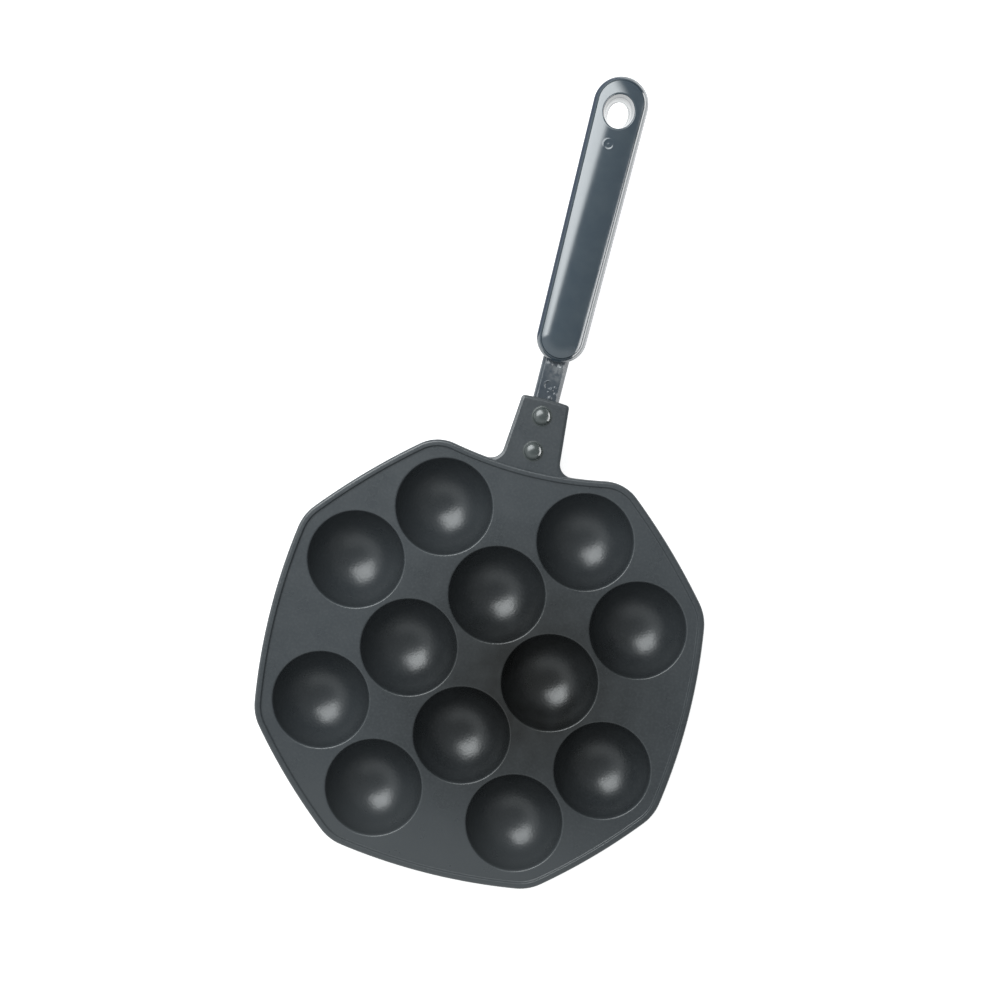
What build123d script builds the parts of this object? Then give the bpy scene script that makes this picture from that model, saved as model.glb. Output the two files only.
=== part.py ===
from build123d import *
from math import atan2, cos, degrees, hypot, radians, sin
import os

# Takoyaki pan. A cast plate with a raised rim carries twelve round bowls and a lug. A pressed
# steel tang is riveted under the lug, and two moulded shells are screwed together over it as
# the grip. Lengths are in millimetres and angles in degrees. +Z is up and +Y runs from the pan
# to the hanging end of the grip. The origin lies on the resting plane, in the middle of the
# overall length and width.

# ---- Driving dimensions ----

# Bowls: a square field of four by four without its corner ones, turned to stand on a corner
BOWL_MOUTH = 40.0  # mouth diameter
BOWL_DEPTH = 19.0
BOWL_WEB = 2.5  # land between the mouths of neighbours
BOWL_WALL = 3.6
BOWL_FLOOR = 3.0  # thickness over the flat foot
LIP_ROUND = 0.8

# Plate: eight bulged sides, its corners in line with the outer bowls
CORNER_MARGIN = 8.6  # from an outer bowl's mouth to the unrounded corner
MAIN_BULGE = 3.7  # sides square to the length
DIAGONAL_BULGE = 1.8
CORNER_ROUND = 20.0
NECK_DIP = 6.0  # how far the hollow side under the lug lies inside the other sides
NECK_CORNER_TURN = 2.4  # shift of the two corners beside the neck, towards the lug
NECK_CORNER_EXTRA = 0.9  # and away from the centre
NECK_CORNER_ROUND = 17.0
PLATE_THICKNESS = 4.0
RIM_HEIGHT = 1.0
RIM_WIDTH = 2.0
RIM_SLOPE = 1.4  # width of the rim's inner slope
RIM_ROUND = 1.0
SKIRT_DEPTH = 7.0  # below the plate
SKIRT_WALL = 3.5
SKIRT_DRAW = 0.4  # how far the lower edge lies inside the rim

# Lug
LUG_REACH = 29.4  # from the middle of the neck
LUG_ROOT_WIDTH = 25.0
LUG_END_WIDTH = 20.0
LUG_END_BULGE = 0.5
LUG_END_ROUND = 1.2
LUG_ROOT_FILLET = 5.5
LUG_RISE = 0.3  # above the plate
LUG_EDGE_ROUND = 1.0
LUG_SEAT_DEPTH = 1.0  # recess that holds the tang from turning
LUG_SEAT_CLEARANCE = 0.2

# Tang: a channel, open below, that rises towards the grip
TANG_WIDTH = 11.0
TANG_DEPTH = 5.6
TANG_SHEET = 1.6
TANG_INNER_ROUND = 0.6  # inside the folds
TANG_START_GAP = 3.1  # from the neck to the tang's end
TANG_BEND_GAP = 4.0  # from the lug's end to the bend
TANG_BEND_RADIUS = 25.0
HANDLE_RISE = 4.0
TANG_DIMPLE = 3.4  # diameter of the gauge dimple
TANG_DIMPLE_DEPTH = 0.4
TANG_DIMPLE_GAP = 6.3  # from the lug's end

# Rivets
RIVET_SHANK = 4.0
RIVET_CLEARANCE = 0.1
RIVET_HEAD = 7.6
RIVET_HEAD_HEIGHT = 2.5
RIVET_TAIL_CLEARANCE = 0.1  # to the folds of the tang
RIVET_TAIL_HEIGHT = 1.8
RIVET_INSET = 7.8  # from the middle of the neck to the first rivet
RIVET_SPACING = 14.8

# Grip: two shells, wider at the hanging end
GRIP_GAP = 12.3  # from the tang's bend to the grip
GRIP_LENGTH = 119.1
GRIP_NECK_WIDTH = 20.7
GRIP_END_WIDTH = 22.6
GRIP_SIDE_LAND = 1.0  # straight side above and below the seam
GRIP_SEAM_BEVEL = 0.3
GRIP_BORDER = 2.1  # rounded shoulder outside the panel
GRIP_SHOULDER_HEIGHT = 4.6
GRIP_PANEL_STEP = 0.3
GRIP_CROWN = 6.5  # from the seam to the top of the panel
GRIP_BELLY = 10.5  # from the seam to the underside
GRIP_TROUGH_CLEARANCE = 0.2
HANG_FROM_END = 14.7  # from the grip's end to the middle of the hanging hole
HANG_WIDTH = 12.4
HANG_LENGTH = 13.8
HANG_DRAW = 3.0  # how much smaller the hole is at the underside
MARK_DIAMETER = 4.2  # moulded dimple in the panel
MARK_DEPTH = 0.4
MARK_FROM_HOLE = 13.8

# Grip screws and inserts
SCREW_SHANK = 3.9
SCREW_CLEARANCE = 0.25
SCREW_HEAD = 7.4
SCREW_HEAD_HEIGHT = 2.2
SCREW_HEAD_CLEARANCE = 0.4
SCREW_SEAT = 2.0  # shell left between the head and the trough
SCREW_RECESS_WIDTH = 1.0
SCREW_RECESS_SPAN = 4.0
SCREW_RECESS_DEPTH = 1.2
SCREW_END_GAP = 0.5  # from the screw's end to the top of its insert
SCREW_FIRST = 25.0  # from the grip's pan end
SCREW_SPACING = 48.0
SCREW_HEAD_EDGE = 0.9  # straight side of the domed head
SCREW_POINT = 0.4  # bevel at the screw's end
INSERT_DIAMETER = 6.2
INSERT_LENGTH = 4.5
INSERT_BEVEL = 0.4
INSERT_WAIST = 0.9  # length of the groove that keys the insert in the moulding
INSERT_WAIST_DEPTH = 0.4
INSERT_CLEARANCE = 0.02
THREAD_CLEARANCE = 0.05
TANG_PAST_SCREW = 12.0  # from the last screw to the tang's end

CUT_PAST = 1.0  # how far a cutter runs past the surface that it opens

# ---- Places worked out from the dimensions ----

# Heights over the resting plane
plate_top = BOWL_DEPTH + BOWL_FLOOR
plate_underside = plate_top - PLATE_THICKNESS
rim_top = plate_top + RIM_HEIGHT
skirt_edge = plate_underside - SKIRT_DEPTH
lug_top = plate_top + LUG_RISE
tang_top = plate_underside + LUG_SEAT_DEPTH

# Bowls
bowl_pitch = BOWL_MOUTH + BOWL_WEB
bowl_radius = ((BOWL_MOUTH / 2) ** 2 + BOWL_DEPTH**2) / (2 * BOWL_DEPTH)
bowl_centre_height = BOWL_FLOOR + bowl_radius
grid_steps = (-1.5, -0.5, 0.5, 1.5)
corner_sum = 2 * max(grid_steps)
field_rows = [(i, j) for i in grid_steps for j in grid_steps if abs(i) + abs(j) < corner_sum]
field_step = bowl_pitch * cos(radians(45))
bowl_spots = [((i - j) * field_step, (i + j) * field_step, bowl_centre_height) for i, j in field_rows]

# Corners of the plate, as distance from the pan's centre and angle from +Y. Each lies in line
# with an outer bowl, which stands one field step to the side and two ahead.
corner_angle = degrees(atan2(1, 2))
corner_reach = hypot(1, 2) * field_step + BOWL_MOUTH / 2 + CORNER_MARGIN
neck_angle = corner_angle - NECK_CORNER_TURN
neck_reach = corner_reach + NECK_CORNER_EXTRA
plate_half = corner_reach * cos(radians(corner_angle)) + MAIN_BULGE
neck_y = plate_half - NECK_DIP

# Lug
root_half = LUG_ROOT_WIDTH / 2
end_half = LUG_END_WIDTH / 2

# Tang and what seats in it
tang_outer_round = TANG_INNER_ROUND + TANG_SHEET
tang_inside = TANG_WIDTH - 2 * TANG_SHEET
rivet_tail = tang_inside - 2 * (TANG_INNER_ROUND + RIVET_TAIL_CLEARANCE)
rivet_grip = lug_top - tang_top + TANG_SHEET
rivet_hole = RIVET_SHANK / 2 + RIVET_CLEARANCE
screw_hole = SCREW_SHANK / 2 + SCREW_CLEARANCE

# Places along the length, from the pan's centre
lug_end = neck_y + LUG_REACH
tang_start = neck_y + TANG_START_GAP
bend_y = lug_end + TANG_BEND_GAP
rivet_spots = [neck_y + RIVET_INSET, neck_y + RIVET_INSET + RIVET_SPACING]

# Places along the risen stretch, from the bend
rise = radians(HANDLE_RISE)
neck_radius = GRIP_NECK_WIDTH / 2
end_radius = GRIP_END_WIDTH / 2
neck_centre = GRIP_GAP + neck_radius
end_centre = GRIP_GAP + GRIP_LENGTH - end_radius
hang_centre = GRIP_GAP + GRIP_LENGTH - HANG_FROM_END
mark_centre = hang_centre - MARK_FROM_HOLE
screw_spots = [GRIP_GAP + SCREW_FIRST, GRIP_GAP + SCREW_FIRST + SCREW_SPACING]
tang_end = screw_spots[-1] + TANG_PAST_SCREW
screw_seat = -TANG_DEPTH - SCREW_SEAT  # height of the face that a screw's head bears on
screw_end = INSERT_LENGTH - SCREW_END_GAP
dimple_centre = TANG_DIMPLE_GAP - TANG_BEND_GAP

# The origin lies in the middle of the overall length, so the pan's centre is off it
grip_end_y = bend_y + end_centre * cos(rise) + end_radius
pan_y = (plate_half - grip_end_y) / 2

PAN = Plane(origin=(0, pan_y, 0))
GRIP = Plane(
    origin=(0, pan_y + bend_y, tang_top),
    x_dir=(1, 0, 0),
    z_dir=(0, -sin(rise), cos(rise)),
)


def corner(reach, angle):
    """Plan point at a distance from the pan's centre, the angle counted from +Y towards +X."""
    return Vector(reach * sin(radians(angle)), reach * cos(radians(angle)))


def bulged_side(start, end, bulge):
    """Side of the plate whose middle stands out from the straight line between two corners."""
    middle = (start + end) / 2
    ThreePointArc(start, middle + middle.normalized() * bulge, end)


def inset_outline(inset):
    """Plate outline moved inwards, each of its arcs about the same centre as before."""
    with BuildLine() as moved:
        for edge in outline.edges():
            middle = edge @ 0.5
            to_centre = edge.arc_center - middle
            outward = 1 if to_centre.dot(middle) > 0 else -1
            scale = 1 + outward * inset / edge.radius
            ThreePointArc(*[edge.arc_center + (edge @ t - edge.arc_center) * scale for t in (0, 0.5, 1)])
    return moved.line


def across(y):
    """Plane across the grip, its local Y square to the seam, at a distance from the bend."""
    return Plane(origin=GRIP.from_local_coords((0, y, 0)), x_dir=GRIP.x_dir, z_dir=-GRIP.y_dir)


def grip_form(half_profile):
    """Carry a half profile around the grip's plan: a long taper between two half-round ends."""
    sections = []
    for y, radius, turn in (
        (neck_centre, neck_radius, -GRIP.z_dir),
        (end_centre, end_radius, GRIP.z_dir),
    ):
        with BuildSketch(across(y)) as half_section:
            make_face(half_profile(radius))
        revolve(half_section.sketch, axis=Axis(across(y).origin, turn), revolution_arc=180)
        with BuildSketch(across(y)) as section:
            make_face(half_profile(radius))
            mirror(about=Plane.YZ)
        sections.append(section.sketch)
    loft(sections, ruled=True)


def upper_profile(radius):
    """Half profile above the seam: side, rounded shoulder, small step and crowned panel."""
    panel_half = radius - GRIP_BORDER
    panel_edge = GRIP_SHOULDER_HEIGHT + GRIP_PANEL_STEP
    with BuildLine() as profile:
        Polyline(
            (0, GRIP_CROWN),
            (0, 0),
            (radius - GRIP_SEAM_BEVEL, 0),
            (radius, GRIP_SEAM_BEVEL),
            (radius, GRIP_SIDE_LAND),
        )
        TangentArc((radius, GRIP_SIDE_LAND), (panel_half, GRIP_SHOULDER_HEIGHT), tangent=(0, 1))
        Line((panel_half, GRIP_SHOULDER_HEIGHT), (panel_half, panel_edge))
        TangentArc((0, GRIP_CROWN), (panel_half, panel_edge), tangent=(1, 0))
    return profile.line


def lower_profile(radius):
    """Half profile below the seam: side and a quarter of an oval down to the belly."""
    with BuildLine() as profile:
        Polyline(
            (0, -GRIP_BELLY),
            (0, 0),
            (radius - GRIP_SEAM_BEVEL, 0),
            (radius, -GRIP_SEAM_BEVEL),
            (radius, -GRIP_SIDE_LAND),
        )
        EllipticalCenterArc(
            center=(0, -GRIP_SIDE_LAND),
            x_radius=radius,
            y_radius=GRIP_BELLY - GRIP_SIDE_LAND,
            start_angle=270,
            arc_size=90,
        )
    return profile.line


def insert_form(y, radius, mode=Mode.ADD):
    """Outside of a threaded insert, bevelled at both ends and waisted, standing on the seam."""
    waist_low = (INSERT_LENGTH - INSERT_WAIST) / 2
    waist_high = waist_low + INSERT_WAIST
    with BuildSketch(across(y)) as half_section:
        with BuildLine():
            Polyline(
                (0, 0),
                (radius - INSERT_BEVEL, 0),
                (radius, INSERT_BEVEL),
                (radius, waist_low),
                (radius - INSERT_WAIST_DEPTH, waist_low),
                (radius - INSERT_WAIST_DEPTH, waist_high),
                (radius, waist_high),
                (radius, INSERT_LENGTH - INSERT_BEVEL),
                (radius - INSERT_BEVEL, INSERT_LENGTH),
                (0, INSERT_LENGTH),
                close=True,
            )
        make_face()
    revolve(half_section.sketch, axis=Axis(across(y).origin, GRIP.z_dir), mode=mode)


def cut_hanging_hole():
    """Cut the oval hanging hole, wider at the top, through the shell that is open."""
    draw = HANG_DRAW / (GRIP_CROWN + GRIP_BELLY)
    ovals = []
    for height, shrink in (
        (GRIP_CROWN + CUT_PAST, -CUT_PAST * draw),
        (-GRIP_BELLY - CUT_PAST, HANG_DRAW + CUT_PAST * draw),
    ):
        with BuildSketch(GRIP.offset(height)) as oval:
            with Locations((0, hang_centre)):
                Ellipse((HANG_WIDTH - shrink) / 2, (HANG_LENGTH - shrink) / 2)
        ovals.append(oval.sketch)
    loft(ovals, ruled=True, mode=Mode.SUBTRACT)


# ---- Pan casting ----

with BuildSketch() as outline:
    right = [
        corner(neck_reach, neck_angle),
        corner(corner_reach, 90 - corner_angle),
        corner(corner_reach, 90 + corner_angle),
        corner(corner_reach, 180 - corner_angle),
    ]
    left = [Vector(-point.X, point.Y) for point in reversed(right)]
    with BuildLine():
        bulged_side(right[0], right[1], DIAGONAL_BULGE)
        bulged_side(right[1], right[2], MAIN_BULGE)
        bulged_side(right[2], right[3], DIAGONAL_BULGE)
        bulged_side(right[3], left[0], MAIN_BULGE)
        bulged_side(left[0], left[1], DIAGONAL_BULGE)
        bulged_side(left[1], left[2], MAIN_BULGE)
        bulged_side(left[2], left[3], DIAGONAL_BULGE)
        ThreePointArc(left[3], (0, neck_y), right[0])
    make_face()
    plain_corners = outline.vertices().group_by(Axis.Y)[:-1]
    fillet([vertex for group in plain_corners for vertex in group], CORNER_ROUND)
    fillet(outline.vertices().group_by(Axis.Y)[-1], NECK_CORNER_ROUND)

with BuildPart() as lug_blank:
    with BuildSketch(PAN.offset(plate_underside)) as lug_plan:
        add(outline.sketch)
        with BuildLine():
            Polyline(
                (-end_half, lug_end),
                (-root_half, neck_y),
                (-root_half, 0),
                (root_half, 0),
                (root_half, neck_y),
                (end_half, lug_end),
            )
            ThreePointArc((end_half, lug_end), (0, lug_end + LUG_END_BULGE), (-end_half, lug_end))
        make_face()
        fillet(lug_plan.vertices().group_by(Axis.Y)[-1], LUG_END_ROUND)
        roots = [(side * root_half, neck_y) for side in (-1, 1)]
        fillet([lug_plan.vertices().sort_by_distance(root)[0] for root in roots], LUG_ROOT_FILLET)
    extrude(amount=lug_top - plate_underside)
    fillet(lug_blank.faces().sort_by(Axis.Z)[-1].edges(), LUG_EDGE_ROUND)
    # Only what stands outside the rim's middle line is kept, to a little past the root fillets
    with BuildSketch(PAN.offset(plate_underside)):
        make_face(inset_outline(RIM_WIDTH / 2))
    extrude(amount=lug_top - plate_underside, mode=Mode.SUBTRACT)
    with BuildSketch(PAN.offset(plate_underside)):
        with Locations((0, lug_end)):
            Rectangle(LUG_ROOT_WIDTH + 4 * LUG_ROOT_FILLET, 2 * (LUG_REACH + NECK_DIP))
    extrude(amount=lug_top - plate_underside, mode=Mode.INTERSECT)

with BuildPart() as bowl_blanks:
    # Outsides of the bowls, cut flat where they stand on the table
    with Locations(PAN):
        with Locations(*bowl_spots):
            Sphere(bowl_radius + BOWL_WALL)
    split(bisect_by=Plane.XY, keep=Keep.TOP)
    split(bisect_by=PAN.offset(plate_top - PLATE_THICKNESS / 2), keep=Keep.BOTTOM)

with BuildPart() as pan_casting:
    # Plate and rim, with the tray inside the rim sloping down to the plate
    with BuildSketch(PAN.offset(plate_underside)):
        add(outline.sketch)
    extrude(amount=rim_top - plate_underside)
    fillet(pan_casting.faces().sort_by(Axis.Z)[-1].edges(), RIM_ROUND)
    for height, inset in ((rim_top, RIM_WIDTH), (plate_top, RIM_WIDTH + RIM_SLOPE)):
        with BuildSketch(PAN.offset(height)):
            make_face(inset_outline(inset))
    loft(ruled=True, mode=Mode.SUBTRACT)
    # Skirt, drawn in towards its lower edge
    for height, inset in ((plate_underside, 0), (skirt_edge, SKIRT_DRAW)):
        with BuildSketch(PAN.offset(height)):
            make_face(inset_outline(inset))
    loft(ruled=True)
    with BuildSketch(PAN.offset(plate_underside)):
        make_face(inset_outline(SKIRT_WALL))
    extrude(amount=-SKIRT_DEPTH, mode=Mode.SUBTRACT)
    add(bowl_blanks.part)
    add(lug_blank.part)
    # Bowls, with rounded lips
    with Locations(PAN):
        with Locations(*bowl_spots):
            Sphere(bowl_radius, mode=Mode.SUBTRACT)
    mouths = pan_casting.edges(Select.LAST).filter_by_position(Axis.Z, plate_top, plate_top)
    fillet(mouths, LIP_ROUND)
    # Seat for the tang under the lug, open at the lug's end
    with BuildSketch(PAN.offset(plate_underside)):
        with Locations((0, tang_start - LUG_SEAT_CLEARANCE)):
            Rectangle(
                TANG_WIDTH + 2 * LUG_SEAT_CLEARANCE,
                LUG_REACH,
                align=(Align.CENTER, Align.MIN),
            )
    extrude(amount=LUG_SEAT_DEPTH, mode=Mode.SUBTRACT)
    with Locations(PAN.offset(lug_top)):
        with Locations(*[(0, y) for y in rivet_spots]):
            Hole(rivet_hole)

# ---- Tang ----

with BuildSketch() as channel_inside:
    Rectangle(tang_inside, TANG_DEPTH, align=(Align.CENTER, Align.MAX))
    fillet(channel_inside.vertices().group_by(Axis.Y)[-1], TANG_INNER_ROUND)

with BuildPart() as handle_tang:
    tang_foot = PAN.from_local_coords((0, tang_start, tang_top))
    with BuildLine():
        FilletPolyline(
            tang_foot,
            GRIP.origin,
            GRIP.from_local_coords((0, tang_end, 0)),
            radius=TANG_BEND_RADIUS,
        )
    with BuildSketch(Plane(origin=tang_foot, x_dir=(1, 0, 0), z_dir=(0, -1, 0))) as channel:
        Rectangle(TANG_WIDTH, TANG_DEPTH, align=(Align.CENTER, Align.MAX))
        fillet(channel.vertices().group_by(Axis.Y)[-1], tang_outer_round)
        with Locations((0, -TANG_SHEET)):
            add(channel_inside.sketch, mode=Mode.SUBTRACT)
    sweep()
    with Locations(PAN.offset(tang_top)):
        with Locations(*[(0, y) for y in rivet_spots]):
            Hole(rivet_hole)
    with Locations(GRIP):
        with Locations(*[(0, y) for y in screw_spots]):
            Hole(screw_hole)
        with Locations((0, dimple_centre)):
            Hole(TANG_DIMPLE / 2, TANG_DIMPLE_DEPTH)

# ---- Rivets ----

lug_rivets = []
for y in rivet_spots:
    with BuildPart() as lug_rivet:
        rivet_top = PAN.from_local_coords((0, y, lug_top))
        with BuildSketch(Plane(origin=rivet_top, x_dir=(1, 0, 0), z_dir=(0, -1, 0))):
            with BuildLine():
                TangentArc((0, RIVET_HEAD_HEIGHT), (RIVET_HEAD / 2, 0), tangent=(1, 0))
                Polyline(
                    (RIVET_HEAD / 2, 0),
                    (RIVET_SHANK / 2, 0),
                    (RIVET_SHANK / 2, -rivet_grip),
                    (rivet_tail / 2, -rivet_grip),
                )
                tail_tip = (0, -rivet_grip - RIVET_TAIL_HEIGHT)
                TangentArc(tail_tip, (rivet_tail / 2, -rivet_grip), tangent=(1, 0))
                Line(tail_tip, (0, RIVET_HEAD_HEIGHT))
            make_face()
        revolve(axis=Axis(rivet_top, (0, 0, 1)))
    lug_rivets.append(lug_rivet)

# ---- Grip screws and inserts ----

grip_screws = []
for y in screw_spots:
    with BuildPart() as grip_screw:
        head_face = screw_seat - SCREW_HEAD_HEIGHT
        with BuildSketch(across(y)):
            with BuildLine():
                head_side = (SCREW_HEAD / 2, screw_seat - SCREW_HEAD_EDGE)
                TangentArc((0, head_face), head_side, tangent=(1, 0))
                Polyline(
                    head_side,
                    (SCREW_HEAD / 2, screw_seat),
                    (SCREW_SHANK / 2, screw_seat),
                    (SCREW_SHANK / 2, screw_end - SCREW_POINT),
                    (SCREW_SHANK / 2 - SCREW_POINT, screw_end),
                    (0, screw_end),
                    (0, head_face),
                )
            make_face()
        revolve(axis=Axis(across(y).origin, GRIP.z_dir))
        with BuildSketch(GRIP.offset(head_face)):
            with Locations((0, y)):
                Rectangle(SCREW_RECESS_WIDTH, SCREW_RECESS_SPAN)
                Rectangle(SCREW_RECESS_SPAN, SCREW_RECESS_WIDTH)
        extrude(amount=SCREW_RECESS_DEPTH, mode=Mode.SUBTRACT)
    grip_screws.append(grip_screw)

grip_inserts = []
for y in screw_spots:
    with BuildPart() as grip_insert:
        insert_form(y, INSERT_DIAMETER / 2)
        with Locations(GRIP):
            with Locations((0, y)):
                Hole(SCREW_SHANK / 2 + THREAD_CLEARANCE)
    grip_inserts.append(grip_insert)

# ---- Grip shells ----

with BuildPart() as grip_upper:
    grip_form(upper_profile)
    cut_hanging_hole()
    for y in screw_spots:
        insert_form(y, INSERT_DIAMETER / 2 + INSERT_CLEARANCE, mode=Mode.SUBTRACT)
    with Locations(GRIP.offset(GRIP_CROWN)):
        with Locations((0, mark_centre)):
            Hole(MARK_DIAMETER / 2, MARK_DEPTH)

with BuildPart() as grip_lower:
    grip_form(lower_profile)
    cut_hanging_hole()
    # Trough for the tang, open at the pan end
    with BuildSketch(GRIP):
        Rectangle(
            TANG_WIDTH + 2 * GRIP_TROUGH_CLEARANCE,
            tang_end + GRIP_TROUGH_CLEARANCE,
            align=(Align.CENTER, Align.MIN),
        )
    extrude(amount=-TANG_DEPTH, mode=Mode.SUBTRACT)
    for y in screw_spots:
        with Locations(Plane(origin=GRIP.from_local_coords((0, y, -GRIP_BELLY)), z_dir=-GRIP.z_dir)):
            CounterBoreHole(
                screw_hole,
                (SCREW_HEAD + SCREW_HEAD_CLEARANCE) / 2,
                GRIP_BELLY + screw_seat,
            )

# ---- Files, one for each piece ----

nodes = {
    "pan_casting": pan_casting,
    "handle_tang": handle_tang,
    "grip_upper": grip_upper,
    "grip_lower": grip_lower,
}
for name, copies in (
    ("lug_rivet", lug_rivets),
    ("grip_screw", grip_screws),
    ("grip_insert", grip_inserts),
):
    for number, copy in enumerate(copies, start=1):
        nodes[f"{name}_{number}"] = copy

os.makedirs("parts", exist_ok=True)
for name, node in nodes.items():
    node.part.label = name
    export_step(node.part, f"parts/{name}.step")
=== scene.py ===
"""Looks of a stovetop takoyaki pan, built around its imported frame.

The pan casting, its tang, rivets, grip shells and screws are rebuilt as smooth meshes in the
places of their solids. Lengths are metres: millimetre sizes are written times MM. +Z is up and
+Y runs from the pan to the hanging end of the grip.
"""

import logging
import math
from dataclasses import dataclass
from enum import Enum
from typing import Callable, Iterable, Sequence

import bmesh
import bpy
from mathutils import Matrix, Vector
from mathutils.geometry import delaunay_2d_cdt


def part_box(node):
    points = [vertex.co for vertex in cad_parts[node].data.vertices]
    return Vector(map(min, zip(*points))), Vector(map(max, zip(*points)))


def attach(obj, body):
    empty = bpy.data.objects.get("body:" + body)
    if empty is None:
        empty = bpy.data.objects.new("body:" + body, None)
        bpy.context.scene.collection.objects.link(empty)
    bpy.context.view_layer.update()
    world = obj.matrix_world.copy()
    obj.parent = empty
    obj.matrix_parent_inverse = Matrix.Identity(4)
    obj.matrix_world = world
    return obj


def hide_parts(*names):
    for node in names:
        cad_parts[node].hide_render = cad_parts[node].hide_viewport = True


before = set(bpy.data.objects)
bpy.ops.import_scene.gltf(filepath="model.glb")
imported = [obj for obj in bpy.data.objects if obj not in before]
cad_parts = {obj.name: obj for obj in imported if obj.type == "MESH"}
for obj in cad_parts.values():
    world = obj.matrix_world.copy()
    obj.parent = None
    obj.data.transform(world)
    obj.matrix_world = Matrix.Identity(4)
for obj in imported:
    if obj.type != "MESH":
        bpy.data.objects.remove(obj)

MM = 0.001
BODY = "root"
WELD = 0.002 * MM  # points nearer than this are one
STRAIGHT = 0.001 * MM  # bulge of a side that counts as straight
CUT_PAST = 1 * MM  # how far a cutter runs past the surface that it opens
RING_INSIDE = 0.9985  # share of a ring's radius that lies inside all of its sides
SLACK = 1e-6  # share by which rounding is allowed for
QUARTER = math.pi / 2
NOISE_BAND = (0.3, 0.7)  # where nearly all of a noise's values lie
BLACK = (0.0, 0.0, 0.0)
WHITE = (1.0, 1.0, 1.0)
LOG = logging.getLogger("takoyaki_pan")

Row = list[Vector]
Place = Callable[[Vector], Vector]
Span = tuple[float, float]
Point = tuple[float, float, float]
Colour = tuple[float, float, float]
Socket = bpy.types.NodeSocket


class Join(Enum):
    """How a boolean puts two solids together."""

    UNION = "UNION"
    CUT = "DIFFERENCE"


class Half(Enum):
    """Which side of the grip's seam a shell lies on."""

    UPPER = 1
    LOWER = -1


class Curve(Enum):
    """How a value passes from one end of a range to the other."""

    STRAIGHT = "LINEAR"
    EASED = "SMOOTHSTEP"


# ---- Points and profiles ----


def unmoved(point: Vector) -> Vector:
    """Leaves a point where it is."""
    return point


def moved(offset: Vector, place: Place = unmoved) -> Place:
    """Makes a placing that shifts a point by an offset before another placing carries it."""
    return lambda point: place(point + offset)


def raised(plan: Iterable[Vector], height: float = 0.0) -> Row:
    """Plan points at a height."""
    return [Vector((p.x, p.y, height)) for p in plan]


def middle_of(points: Row) -> Vector:
    """Middle of some plan points."""
    return sum(points, Vector((0, 0))) / len(points)


def spaced(start: float, end: float, count: int) -> list[float]:
    """Values from start to end, both included, in so many even steps."""
    return [start + (end - start) * i / count for i in range(count + 1)]


def stepped(start: float, end: float, longest: float) -> list[float]:
    """Values from start to end, both included, in even steps no longer than longest."""
    return spaced(start, end, max(1, math.ceil((end - start) / longest)))


def cap_radius(half_width: float, height: float) -> float:
    """Radius of the circle through the top and both edges of a cap."""
    return (half_width**2 + height**2) / (2 * height)


def half_chord(radius: float, away: float) -> float:
    """Half of a circle's chord at a distance from its centre."""
    return math.sqrt(max(0.0, radius**2 - away**2))


def arc_path(
    centre: Sequence[float], radius: float, start: float, end: float, steps: int
) -> list[Vector]:
    """Samples an arc.

    Args:
        centre: its centre.
        radius: its radius.
        start: the first point's angle, anticlockwise from the first axis.
        end: the last point's angle.
        steps: steps between the two.

    Returns:
        The arc's points, both ends included.
    """
    x, y = centre
    return [
        Vector((x + radius * math.cos(angle), y + radius * math.sin(angle)))
        for angle in spaced(start, end, steps)
    ]


def softened(path: Sequence[Point], steps: int = 6) -> list[Vector]:
    """Rounds the inner corners of an open path.

    Args:
        path: corners as two coordinates and a rounding radius.
        steps: steps in each rounding.

    Returns:
        Points of the rounded path.
    """
    points = [Vector(corner[:2]) for corner in path]
    result = [points[0]]
    for before, here, after, (_, _, radius) in zip(points, points[1:], points[2:], path[1:]):
        if not radius:
            result.append(here)
            continue
        back = (before - here).normalized()
        ahead = (after - here).normalized()
        half = back.angle(ahead) / 2
        start = here + back * radius / math.tan(half)
        centre = here + (back + ahead).normalized() * radius / math.sin(half)
        spoke = start - centre
        side = 1 if (-back).x * ahead.y - (-back).y * ahead.x > 0 else -1
        for angle in spaced(0, side * (math.pi - 2 * half), steps):
            result.append(centre + Matrix.Rotation(angle, 2) @ spoke)
    return result + [points[-1]]


# ---- Plan outlines ----


@dataclass(frozen=True)
class Corner:
    """Corner of an outline that runs anticlockwise, and the side that leads on from it.

    Attributes:
        place: where the two sides would meet.
        rounding: radius of the fillet at the corner.
        bulge: how far the next side's middle stands out from straight, negative where hollow.
    """

    place: Vector
    rounding: float
    bulge: float


@dataclass(frozen=True)
class Circle:
    """Circle of an outline's side, with turn +1 where the side is convex and -1 where hollow."""

    centre: Vector
    radius: float
    turn: int


@dataclass(frozen=True)
class Arc(Circle):
    """Stretch of such a circle, run anticlockwise round the outline."""

    start: Vector
    end: Vector

    def points(self, inset: float, spacing: float) -> list[Vector]:
        """Samples the arc, moved inwards about its own centre.

        Args:
            inset: how far inwards.
            spacing: longest step along the arc as it is with no inset.

        Returns:
            Plan points from the start up to, and without, the end.
        """
        first = self.start - self.centre
        last = self.end - self.centre
        begin = math.atan2(first.y, first.x)
        sweep = math.atan2(first.x * last.y - first.y * last.x, first.dot(last))
        steps = max(2, math.ceil(abs(sweep) * self.radius / spacing))
        reach = self.radius - self.turn * inset
        angles = [begin + sweep * i / steps for i in range(steps)]
        return [self.centre + reach * Vector((math.cos(a), math.sin(a))) for a in angles]

    def end_at(self, inset: float) -> Vector:
        """The arc's end, moved inwards about its own centre."""
        reach = self.radius - self.turn * inset
        return self.centre + (self.end - self.centre).normalized() * reach


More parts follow.
